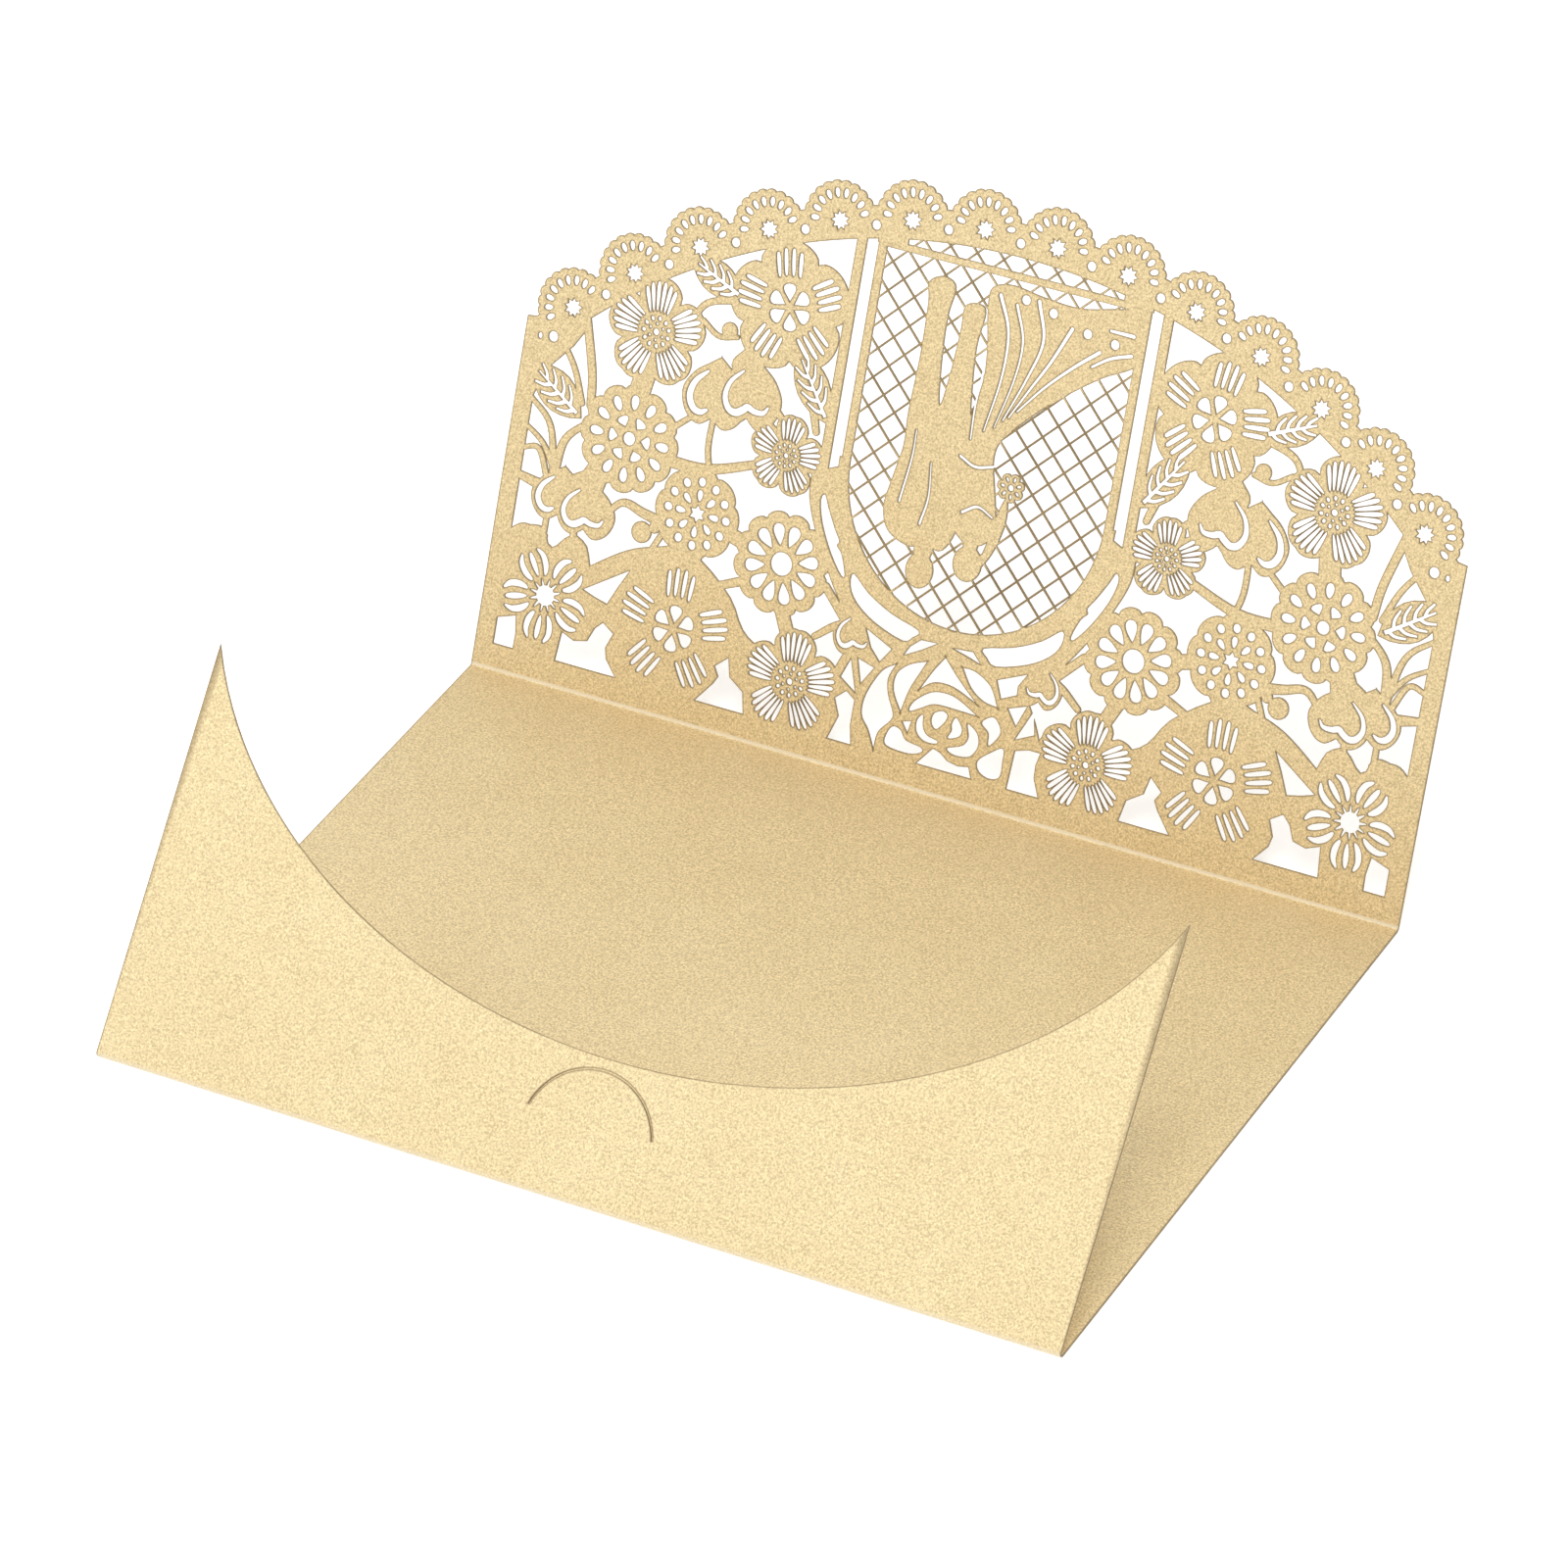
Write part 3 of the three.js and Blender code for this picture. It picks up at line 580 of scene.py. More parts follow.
# Plain borders at the sides and the foot
def makeBorders(s):
    inside, shoulder = halfWidth - s["side"], s["shoulder"]
    stay.append([(-halfWidth, 0), (halfWidth, 0), (halfWidth, s["foot"]), (-halfWidth, s["foot"])])
    both(stay, [(inside, 0), (halfWidth, 0), (halfWidth, shoulder), (inside + 1, shoulder + 0.4),
                (inside - 6, shoulder + 4), (inside - 9, shoulder + 1), (inside - 6.4, shoulder - 3.4),
                (inside - 1.6, shoulder - 9), (inside, shoulder - 14)])
    both(cuts, disc(inside - 2.1, shoulder - 2.6, 0.95, 16), disc(inside + 0.5, shoulder - 3, 0.42, 12, 1.3))


makeBorders(borderSizes)

# The leafy ground along the foot, with its openings
groundSizes = {
    "ground": [(17, 3), (91, 3), (91, 22), (88, 26.4), (85.4, 28), (82, 28.2), (80, 25), (76.3, 28.4), (73, 27),
               (70.5, 23), (62, 28.4), (55, 31.4), (50, 30), (43.4, 25), (40, 20), (36, 18), (30, 20), (24, 17),
               (21, 15.4), (16.4, 12.6)],
    "openings": [
        [(88.3, 10), (84.7, 11.2), (84.2, 8), (84.3, 5.2), (88.3, 5.2)],
        [(75.1, 10.6), (72.5, 9.6), (69.9, 10.2), (68.8, 12.8), (67.3, 14.3), (65, 12.8), (66.1, 10), (65.6, 8),
         (63.2, 5.2), (75.6, 5.2)],
        [(47, 5.2), (44, 9), (43.2, 10.5), (44.2, 12.2), (41.8, 14.3), (41, 11), (38, 9), (37.2, 5.2)],
        [(72.3, 19.2), (63.8, 24.8), (65.6, 21.3), (67.2, 17.8), (69.8, 18.4)],
    ],
}


def makeGround(s):
    both(stay, smooth(s["ground"], 3))
    both(cuts, *s["openings"])


makeGround(groundSizes)

# Window with its lattice
windowSizes = {
    "halfWidth": 24.9, "top": 93.3, "spring": 55.0, "bar": 1.75, "slot": 2.2, "outerBar": 2.0, "slotTop": 94.8,
    "slotFoot": 49.6, "band": 2.2, "headBar": 1.35, "headHalf": 21.0, "stripRadius": 120.5,
    "pitch": 5.2, "thread": 0.36, "threads": 61, "threadLength": 320.0, "threadMiddle": 46.8,
    # a second arch below the window, with two slots on each side
    "arch": [(31.9, 51), (31.6, 46.6), (29.6, 41.4), (26.6, 36), (22.8, 30.2), (18.8, 26), (14, 24.2), (9, 23.4),
             (4, 23.6), (0, 24)],
    "archSlots": [
        [(28.6, 47.6), (27.6, 45.6), (25.7, 42.2), (24.4, 40.2), (24.7, 39.3), (23.5, 37.9), (22.3, 34.6),
         (23, 34.3), (25.6, 37.6), (28.2, 42.4), (29.3, 46.4)],
        [(20.6, 35.2), (17, 32.4), (12, 30), (6.4, 28.4), (7.3, 27), (9.2, 25.9), (15, 27.7), (19, 30.2),
         (20.8, 32.8)],
    ],
}


def makeWindow(s):
    w, spring, top, foot, slotTop = s["halfWidth"], s["spring"], s["top"], s["slotFoot"], s["slotTop"]
    head, headBar = s["headHalf"], s["headBar"]
    bowl = arc(0, spring, w, 180, 360, 48)
    opening = [(w, spring), (w, top), (-w, top), (-w, spring)] + bowl[1:-1]
    strip = [(-head, top + headBar), (head, top + headBar)]
    strip += arc(0, -scallopSizes["arcDrop"], s["stripRadius"], 80, 100, 20)
    windowShapes.extend([opening, strip])
    slotIn = w + s["bar"]
    barIn = slotIn + s["slot"]
    barOut = barIn + s["outerBar"]
    stay.append([(-w - 1, top), (w + 1, top), (w + 1, top + headBar), (-w - 1, top + headBar)])
    stay.append(bowl + arc(0, spring, w + s["band"], 360, 180, 48))
    both(
        stay,
        [(w, spring - 6), (slotIn, foot - 2.6), (slotIn, top + 6), (w, top + 3)],
        [(barIn, foot - 1.4), (barOut, foot - 1.4), (barOut, slotTop + 1), (barIn, slotTop + 3)],
        [(slotIn - 1, slotTop), (barIn + 1, slotTop), (barIn + 1, slotTop + 2), (slotIn - 1, slotTop + 4)],
        [(w - 0.2, foot - 3.4), (barIn + 1.4, foot - 1.8), (barIn + 1, foot + 0.4), (slotIn - 0.6, foot - 1.4)],
        [(head, top + 0.4), (w + 2, top + 0.4), (w + 2, top + 3.4), (head, top + 4.6)],
        arc(0, spring, w, 270, 358, 30) + smooth(s["arch"], 4, False),
    )
    both(cuts, *[smooth(slot, 3) for slot in s["archSlots"]])
    threads.extend(runTree(latticeTree(), {
        "threads": s["threads"], "Pitch": s["pitch"], "Thread width": s["thread"],
        "Thread length": s["threadLength"], "Middle height": s["threadMiddle"]}))


makeWindow(windowSizes)
print("window and lattice drawn")

# Flowers, each with its own kind of cuts: x, y, radius, turn and, where it varies, slits in each petal
flowerSizes = {
    "corner": [(79.6, 16.2, 10.6, 58)],
    "button": [(53.5, 16.7, 12.6, 90), (41.5, 78.4, 12.0, 80)],
    "striped": [(29.3, 13.2, 9.8, 90, 6), (37.4, 52.5, 7.5, 95, 5), (66.4, 68.0, 10.0, 88, 6)],
    "daisy": [(34.7, 33.4, 9.5, 15)],
    "ovals": [(68.2, 48.0, 9.9, 0)],
    "dots": [(52.6, 38.1, 8.4, 0)],
    "cornerCut": [(0.32, 0.125), (0.41, 0.18), (0.52, 0.215), (0.66, 0.215), (0.79, 0.15)],
}


def makeFlowers(f):
    for x, y, r, turn in f["corner"]:
        both(stay, rosette(x, y, r, r * 0.27, 5, turn, 18, r * 0.05))
        bothRings(x, y, petals=5, turn=turn, radius=r * 0.56, length=r * 0.43, width=r * 0.105, taper=0.15)
        for petal in range(5):
            way = math.radians(turn + 72 * petal)
            for hand in (-1, 1):
                line = []
                for out, aside in smooth(f["cornerCut"], 4, False):
                    line.append((x + r * (out * math.cos(way) - hand * aside * math.sin(way)),
                                 y + r * (out * math.sin(way) + hand * aside * math.cos(way))))
                both(cuts, bowCut(line, r * 0.115))
        both(cuts, disc(x, y, r * 0.175, 24))
        bothRings(x, y, petals=12, turn=8, radius=r * 0.2, length=r * 0.2, width=r * 0.045, sides=8, taper=-0.4)
    for x, y, r, turn in f["button"]:
        both(stay, rosette(x, y, r, r * 0.2, 5, turn, 18))
        bothRings(x, y, petals=6, turn=turn, radius=2.6, length=3.2, width=2.0, taper=0.9, sides=16)
        bothRings(x, y, petals=5, slits=4, turn=turn, pitch=10.6, radius=r * 0.67, length=r * 0.42, width=0.85,
                  taper=0.1, bow=0.22, parallel=0.72, square=0.5, sides=14)
    for x, y, r, turn, slits in f["striped"]:
        both(stay, rosette(x, y, r, r * 0.3, 5, turn, 18, r * 0.03))
        bothRings(x, y, petals=5, slits=slits, turn=turn, pitch=54.0 / slits, radius=r * 0.64, length=r * 0.55,
                  width=r * (0.079 if slits > 5 else 0.088), taper=0.3, bow=0.13, parallel=0.3, square=0.6,
                  sides=14)
        bothRings(x, y, petals=11, turn=turn + 9, radius=r * 0.25, length=r * 0.085, width=r * 0.07, sides=8)
        bothRings(x, y, petals=6, turn=turn, radius=r * 0.145, length=r * 0.05, width=r * 0.05, sides=6)
        both(cuts, disc(x, y, r * 0.06, 10))
    for x, y, r, turn in f["daisy"]:
        both(stay, rosette(x, y, r, r * 0.1, 12, turn, 8))
        bothRings(x, y, petals=12, turn=turn, radius=5.3, length=3.9, width=2.0, taper=0.62, sides=18)
        both(cuts, disc(x, y, 2.1, 22))
    for x, y, r, turn in f["ovals"]:
        both(stay, rosette(x, y, r, r * 0.09, 12, turn, 8))
        bothRings(x, y, petals=12, turn=turn, radius=6.6, length=2.7, width=1.6, taper=0.2, sides=16)
        bothRings(x, y, petals=6, turn=turn, radius=3.25, length=1.9, width=1.9, taper=0.85, sides=12)
        both(cuts, disc(x, y, 1.2, 16))
    for x, y, r, turn in f["dots"]:
        both(stay, rosette(x, y, r, r * 0.09, 8, turn, 10))
        bothRings(x, y, petals=12, turn=turn, radius=5.8, length=1.65, width=1.5, sides=14)
        bothRings(x, y, petals=8, turn=turn, radius=3.3, length=2.1, width=1.15, taper=0.3, sides=10)
        star = []
        for j in range(12):
            star.append(polar(x, y, 1.6 if j % 2 else 0.95, 30 * j))
        both(cuts, star)


makeFlowers(flowerSizes)
print("flowers drawn")

# Hearts, tip up, with a curved cut along the outer side: x, y, width, height, how far round the cut runs
heartSizes = [(46.2, 61.9, 12.6, 13.0, 10), (52.9, 60.3, 13.0, 12.8, 6), (74.3, 33.8, 11.8, 10.8, 10),
              (79.8, 35.0, 11.6, 10.4, 6), (18.4, 25.0, 8.4, 8.6, 10)]
# The cut in a heart, as shares of its width and height
heartCut = [(0.15, 0.27), (0.33, 0.08), (0.385, -0.13), (0.31, -0.29), (0.19, -0.33), (0.08, -0.27),
            (0.01, -0.215), (-0.10, -0.25), (-0.24, -0.24), (-0.31, -0.14)]
# Leaves with slanting vein cuts: stalk, tip, width, pairs of veins
leafSizes = [((78.2, 49.2), (89.6, 56.8), 7.2, 4), ((50.6, 77.8), (62, 82.6), 6.2, 4),
             ((30.4, 59.8), (38.6, 71.6), 6.6, 4)]
# Stems and curls: route, width, width at the tip
stemSizes = [
    ([(80.5, 68), (77.6, 58), (76.8, 52)], 1.7, 1.7), ([(84.2, 62), (81, 57.6), (78.6, 52)], 1.1, 1.3),
    ([(89, 51), (84, 46.5), (81.8, 37)], 1.0, 1.5), ([(89.4, 46), (85, 43.2), (82, 39)], 0.9, 1.3),
    ([(89, 41.4), (85.6, 42), (83, 37)], 1.0, 1.3), ([(76, 49.5), (80.6, 45), (81.8, 39)], 1.2, 1.9),
    ([(81.8, 33), (82, 24)], 1.1, 1.4), ([(76, 32), (76, 24)], 1.2, 1.6),
    ([(71.4, 31.8), (67.6, 36.4), (63, 35.6), (58, 34.6)], 1.1, 2.2), ([(72.5, 18), (62, 18)], 2.8, 3.6),
    ([(73.5, 21.6), (64.5, 27.4), (57, 29.8), (52, 32)], 1.5, 3.2), ([(53.2, 26), (52.8, 33)], 5.4, 5.4),
    ([(43.5, 18), (35.5, 15)], 2.2, 2.2), ([(34, 27), (30.6, 20)], 2.8, 2.8),
    ([(41.5, 35), (47, 36.5)], 2.8, 2.8), ([(61, 46), (52, 46.4), (41.5, 50)], 2.4, 1.6),
    ([(50.7, 44), (52.6, 50), (52.4, 58)], 1.2, 1.2), ([(68, 55), (67, 61)], 4.2, 4.2),
    ([(42, 56), (46.6, 60)], 2.2, 2.2), ([(48.6, 66), (44, 71)], 4.4, 4.4),
    ([(60, 70.6), (57.4, 75.4), (50, 77.6)], 1.2, 1.5), ([(50.6, 70.8), (54.2, 70.2), (57.6, 72.2)], 1.1, 1.1),
    ([(81.5, 26.8), (86, 27.6), (89, 25.4)], 1.0, 1.2), ([(41.6, 60.8), (38.2, 57.6)], 1.4, 1.4),
    ([(60.6, 62), (63, 63.6)], 1.3, 1.6), ([(36.6, 66), (38.4, 72)], 1.5, 2.0),
    ([(32.4, 58), (34, 63)], 1.4, 1.8), ([(46, 26.6), (41.4, 28.6)], 1.6, 1.8),
    ([(61.4, 27.2), (58, 34.4)], 1.1, 1.3), ([(63.4, 10.4), (70.4, 12.4)], 1.2, 1.2),
    ([(56.4, 55.2), (60.6, 51.6)], 1.1, 1.3), ([(26, 22.4), (21.6, 25.6), (17, 26)], 1.3, 1.8),
    ([(25.5, 31.6), (20.4, 26.4)], 1.7, 1.8), ([(89, 36.6), (84, 35.6)], 1.5, 2.2),
    ([(74.2, 38.2), (72.6, 42.4)], 5.4, 4.2), ([(77.4, 38.6), (73.2, 40.4)], 1.6, 2.6),
]
curlBlobs = [(62.8, 32.2, 2.0), (52.2, 71.6, 1.6), (60.4, 33.6, 1.1), (57.2, 51.8, 1.2)]


def makeSprigs():
    for x, y, w, h, run in heartSizes:
        both(stay, heartOutline(x, y, w, h))
        line = smooth([(x + a * w, y + b * h) for a, b in heartCut[:run]], 5, False)
        both(cuts, bowCut(line, w * 0.105))
    for stalk, tip, w, pairs in leafSizes:
        both(stay, leafOutline(stalk, tip, w))
        a, b = np.array(stalk), np.array(tip)
        along = b - a
        side = np.array([-along[1], along[0]]) / np.linalg.norm(along)
        both(cuts, ribbon([tuple(a + along * 0.1), tuple(a + along * 0.86)], 0.75, 0.35))
        for i in range(2 * pairs):
            hand = 1 if i % 2 else -1
            share = 0.16 + 0.54 * i / (2 * pairs - 1)
            out = w * 0.37 * math.sin(math.pi * min(share + 0.16, 1)) ** 0.7
            end = a + along * (share + 0.19) + side * hand * out
            middle = a + along * (share + 0.06) + side * hand * out * 0.55
            both(cuts, ribbon([tuple(a + along * share), tuple(middle), tuple(end)], 0.8, 0.4, 4))
    for route, w, tip in stemSizes:
        both(stay, ribbon(route, w, tip, 6, True))
    for x, y, r in curlBlobs:
        both(stay, disc(x, y, r, 18))


makeSprigs()

# The rose at the middle of the foot: a leafy field, opened between the petals and leaves
roseSizes = {
    "shift": 1.1,
    "field": [(-19, 3), (19, 3), (21, 9), (20.6, 13), (18.6, 18), (15.8, 22.4), (12.5, 26.6), (6, 27), (0, 27),
              (-6, 27), (-12.5, 27), (-17.4, 25), (-19.6, 21.6), (-21.4, 17), (-22, 13), (-21.8, 9)],
    "rounded": [
        [(-10.7, 21.4), (-10.7, 21.4), (-13.2, 19.5), (-15.4, 14.8), (-15.6, 11.1), (-13.8, 8.7), (-12.2, 5.6),
         (-12.2, 5.6), (-11.9, 8.8), (-9.9, 11.4), (-9.7, 12.9), (-11.2, 15.9), (-11.7, 18.7)],
        [(-4.9, 23.4), (-4.9, 23.4), (-8, 22.1), (-10.2, 19.9), (-10.3, 16.8), (-8.3, 13.5), (-8.3, 13.5),
         (-7.3, 17.8), (-5.9, 21.1)],
        [(-1.5, 25), (-1.5, 25), (-3.4, 22.1), (-5.3, 18.4), (-5.3, 18.4), (-2.9, 20.2), (0.9, 20.3), (5.8, 18.5),
         (5.8, 18.5), (1.7, 21.9)],
        [(2.1, 24.1), (2.1, 24.1), (4.6, 24), (7.9, 22.2), (9.8, 18.9), (9.8, 18.9), (7, 19.3), (4.3, 21)],
        [(-6.7, 14), (-6, 15.9), (-3, 18.3), (0, 18.8), (2.7, 18.2), (6.3, 16.4), (6.3, 16.4), (2.2, 16.5),
         (-2.1, 16.4), (-4.7, 15)],
        [(-1.9, 14.7), (-0.3, 15.6), (0.8, 15), (0.2, 13.4), (-1.1, 12.1), (-2.1, 13.1)],
        [(2.5, 15.1), (3.9, 13.5), (3.6, 12), (1.5, 11.1), (2, 12.6), (1.8, 13.8)],
        [(-4.9, 12.7), (-3.9, 14), (-3.5, 11.9), (-2.4, 10.6), (-0.3, 10.1), (-0.8, 9.5), (-3, 9.5),
         (-4.6, 10.7)],
        [(-9.2, 10.5), (-7.6, 10.2), (-6.3, 8.7), (-3.3, 8.2), (-3, 7.4), (-5.5, 6.5), (-10, 6.9), (-10.2, 8.9)],
        [(4.8, 14.6), (6.9, 13.4), (7.5, 11.2), (6.2, 9), (3.3, 8.5), (1.7, 9.3), (4.5, 10.5), (5.4, 12.3)],
        [(7.4, 15.5), (9.5, 17), (11.1, 15.4), (11, 13.8), (9.4, 11.8), (9, 14)],
        [(7.9, 8.6), (10, 10.6), (12.3, 12), (12.6, 9.6), (12.5, 6.9), (10.5, 6.1), (8.4, 6.9)],
    ],
    "pointed": [
        [(-7.6, 11.8), (-5.9, 12.3), (-6.3, 10.1)],
        [(-0.9, 8.6), (0.6, 8.2), (2.2, 7.1), (4.4, 6.7), (6.4, 7.1), (7.2, 5.2), (-3.6, 5.2)],
        [(-17.5, 26.3), (-12, 23.9), (-13.9, 21.1), (-16, 23.2)],
        [(-9.5, 23.5), (-8.6, 25.2), (-6.7, 26.9), (-3.5, 27.1), (-6.4, 25.2)],
        [(-0.4, 27), (3.5, 27.3), (5.3, 25.5), (2.9, 26.2)],
        [(8.9, 23.6), (14.4, 26), (13, 23.6), (13.1, 22), (10.2, 20.6)],
        [(11.9, 19.2), (15.4, 20.5), (13.9, 16.5)],
        [(14.2, 14.2), (16.8, 20), (17.7, 15.9)],
        [(-18.1, 20.7), (-14.7, 19.8), (-16.8, 16.4)],
        [(-19.4, 20.3), (-20.8, 16.6), (-17.5, 14.5)],
        [(14.6, 12.2), (17.2, 13), (19.4, 13), (18.9, 10.8), (19, 8.4), (20.4, 5.2), (14.2, 5.2)],
        [(-17.4, 13.2), (-19.2, 14.4), (-21.2, 12.6), (-19.9, 9.6), (-21.4, 5.2), (-16.7, 5.2), (-17.4, 8.6)],
    ],
}


def makeRose(s):
    stay.append(smooth(s["field"], 3))
    cuts.extend(smooth([(x + s["shift"], y) for x, y in opening], 4) for opening in s["rounded"])
    cuts.extend([(x + s["shift"], y) for x, y in opening] for opening in s["pointed"])


makeRose(roseSizes)

# The bride and groom in the window: plain silhouettes of a couple, head down
coupleSizes = {
    "groom": [(-11.4, 42.6), (-15.6, 44.4), (-17.2, 48.5), (-16.4, 54), (-15.4, 60), (-15.6, 66), (-15.2, 76),
              (-15.4, 85.6), (-15.9, 89.2), (-13.2, 90.8), (-10.6, 89.4), (-11.2, 84), (-10.9, 76), (-9.9, 68.5),
              (-9, 74), (-8.4, 82), (-8.3, 86.6), (-5.6, 87.6), (-4.2, 86.2), (-4.8, 80), (-4.2, 72), (-3.2, 64),
              (-2.2, 56), (-2.4, 48.4), (-4.6, 43.4), (-8, 43.4)],
    "bride": [(-3.6, 48.8), (-1.6, 46.2), (0.6, 45.6), (3, 46.4), (4.6, 49.2), (4, 53.4), (3, 57.4), (2.1, 61.6),
              (3, 65.2), (7.2, 70), (12.8, 75.2), (19.4, 80.2), (25.6, 84), (25.8, 89), (25.7, 93.6),
              (20.4, 92.9), (13.2, 91.3), (6, 91.6), (0, 92.3), (-3.8, 91), (-4, 87), (-2.8, 80), (-2.6, 74),
              (-4.2, 66), (-4.8, 57)],
    "dressSlits": [
        ([(-2, 90), (0.6, 84), (0.8, 76), (-0.8, 66)], 0.75, 0.3),
        ([(1.4, 89), (3.6, 83), (3.2, 76), (1, 67)], 0.6, 0.25),
        ([(5.4, 90.6), (7.4, 84), (5.6, 77), (2.4, 68.6)], 0.75, 0.3),
        ([(12.4, 87.4), (9.6, 81), (6.6, 75.4), (3.4, 69.4)], 0.7, 0.3),
        ([(18.2, 84.6), (14, 81), (9.2, 76.2), (4.8, 70.8)], 0.65, 0.3), ([(24, 88.8), (19.6, 88.8)], 0.7, 0.5),
        ([(24.2, 85.4), (20.4, 84), (17.2, 81.8)], 0.6, 0.4), ([(-2.8, 76), (-3.2, 70), (-3, 64)], 0.5, 0.35),
        ([(-4.3, 60.6), (-1.2, 59.4), (2.2, 60.2)], 0.55, 0.45),
        ([(-2.2, 51), (0.6, 52.6), (3.6, 51.4)], 0.5, 0.4),
    ],
    "suitSlits": [([(-9.8, 47), (-9, 52), (-9.6, 58)], 0.5, 0.3),
                  ([(-14.4, 50), (-13.4, 58), (-13.4, 63)], 0.45, 0.3)],
    "heads": [(-8.3, 38.9, 2.7, 1.2), (0.5, 42.3, 2.8, 1.15)],          # centre, radius, stretch
    "necks": [([(-8.3, 40.5), (-8.2, 44.6)], 2.8, 4.4), ([(0.5, 43.6), (0.5, 47.6)], 2.2, 3.6)],
    "veil": [(2.2, 41.2), (4.8, 45), (6.4, 51), (5.8, 55.6), (4.4, 52), (3.4, 46.6)],
    "posy": (6.2, 57.4, 2.7),
    "dots": [(2.9, 90.3), (8.4, 89.2), (15.4, 87.2), (20.8, 86.6)],
}


def makeCouple(s):
    stay.extend(smooth(s[name], 5) for name in ("groom", "bride"))
    stay.extend(disc(x, y, r, 26, stretch) for x, y, r, stretch in s["heads"])
    stay.extend(ribbon(*neck) for neck in s["necks"])
    stay.append(smooth(s["veil"], 5))
    x, y, r = s["posy"]
    stay.append(rosette(x, y, r, 0.55, 7, 20, 8))
    cuts.append(disc(x, y, 0.55, 10))
    cuts.extend(ring(x, y, petals=7, turn=20, radius=1.6, length=0.9, width=0.5, sides=8))
    cuts.extend(ribbon(*slit, 7, True) for slit in s["dressSlits"] + s["suitSlits"])
    cuts.extend(disc(x, y, 0.85, 16) for x, y in s["dots"])


makeCouple(coupleSizes)
print("rose, sprigs and couple drawn")

# Pocket flap: hollow edge and the half-moon slit that takes the lace tip
pocketSizes = {"side": 73.0, "centre": 24.8, "depth": 71.0, "slitHeight": 10.5, "slitRadius": 12.2,
               "slitSpread": 74.0,
               "slitWidth": 0.3}


# Where a height up the pocket flap lies on the flat sheet
def pocketHeight(v):
    return pocketTo - (v - outerRadius)


def makePlainSheet(s):
    semiWidth = halfWidth / math.sqrt(1 - (1 - (s["side"] - s["centre"]) / s["depth"]) ** 2)
    edge = []
    for i in range(97):
        x = halfWidth * (i / 48 - 1)
        edge.append((x, pocketHeight(s["centre"] + s["depth"] * (1 - math.sqrt(1 - (x / semiWidth) ** 2)))))
    stay.append([(halfWidth, 1.0), (-halfWidth, 1.0)] + edge)
    w = s["slitWidth"] / 2
    slit = arc(0, s["slitHeight"], s["slitRadius"] + w, 90 - s["slitSpread"], 90 + s["slitSpread"], 30)
    slit += arc(0, s["slitHeight"], s["slitRadius"] - w, 90 + s["slitSpread"], 90 - s["slitSpread"], 30)
    cuts.append([(x, pocketHeight(v)) for x, v in slit])


makePlainSheet(pocketSizes)


# Filling the outlines with triangles
# Which of the points lie inside an outline
def insideMask(points, outline):
    poly = np.array(outline)
    low, high = poly.min(axis=0), poly.max(axis=0)
    found = np.zeros(len(points), bool)
    near = np.nonzero(((points >= low) & (points <= high)).all(axis=1))[0]
    if len(near) == 0:
        return found
    px, py = points[near, 0], points[near, 1]
    odd = np.zeros(len(near), bool)
    for (x0, y0), (x1, y1) in zip(poly, np.roll(poly, -1, axis=0)):
        if y0 != y1:
            hit = (y0 > py) != (y1 > py)
            odd ^= hit & (px < (x1 - x0) * (py - y0) / (y1 - y0) + x0)
    found[near] = odd
    return found


def insideAny(points, outlines):
    found = np.zeros(len(points), bool)
    for outline in outlines:
        found |= insideMask(points, outline)
    return found


def triangulate(outlines, lines):
    points, edges = [], []
    for outline in outlines:
        first = len(points)
        points.extend(Vector(p) for p in outline)
        edges.extend((first + i, first + (i + 1) % len(outline)) for i in range(len(outline)))
    for a, b in lines:
        first = len(points)
        points.extend((Vector(a), Vector(b)))
        edges.append((first, first + 1))
    made = delaunay_2d_cdt(points, edges, [], 0, 1e-4, False)
    return np.array([tuple(p) for p in made[0]]), np.array([tuple(f) for f in made[2]])


def keepPaper(flat, faces):
    middle = flat[faces].mean(axis=1)
    lace = insideAny(middle, threads) & insideAny(middle, windowShapes)
    solid = (insideAny(middle, stay) | lace) & ~insideAny(middle, cuts)
    return solid & (abs(middle[:, 0]) < halfWidth)


# The triangles that hang together, without loose crumbs
def largestPart(faces, count):
    parent = list(range(count))

    def root(i):
        while parent[i] != i:
            parent[i] = parent[parent[i]]
            i = parent[i]
        return i

    for a, b, c in faces:
        ra = root(a)
        parent[root(b)] = ra
        parent[root(c)] = ra
    marks = np.array([root(f[0]) for f in faces])
    names, sizes = np.unique(marks, return_counts=True)
    print("loose crumbs left out:", len(names) - 1, "with", int(sizes.sum() - sizes.max()), "triangles")
    return faces[marks == names[sizes.argmax()]]


# Closed loops round the kept triangles, with the paper on their left
def borderLoops(faces):
    edges = set()
    for a, b, c in faces:
        edges.update(((a, b), (b, c), (c, a)))
    following = {}
    for a, b in edges:
        if (b, a) not in edges:
            following.setdefault(a, []).append(b)
    loops = []
    while following:
        start = next(iter(following))
        loop, here = [], start
        while here in following:
            loop.append(here)
            ways = following[here]
            step = ways.pop()
            if not ways:
                del following[here]
            here = step
            if here == start:
                break
        if len(loop) > 2:
            loops.append(loop)
    return loops


def insetLoop(loop, distance):
    p = np.array(loop)
    before, after = p - np.roll(p, 1, axis=0), np.roll(p, -1, axis=0) - p
    before /= np.linalg.norm(before, axis=1)[:, None] + 1e-12
    after /= np.linalg.norm(after, axis=1)[:, None] + 1e-12
    normal = np.stack([-(before + after)[:, 1], (before + after)[:, 0]], axis=1)
    size = np.linalg.norm(normal, axis=1)[:, None] + 1e-9
    normal /= size
    stretch = np.clip(2 / size, 1, 1.6)
    return p + normal * distance * stretch


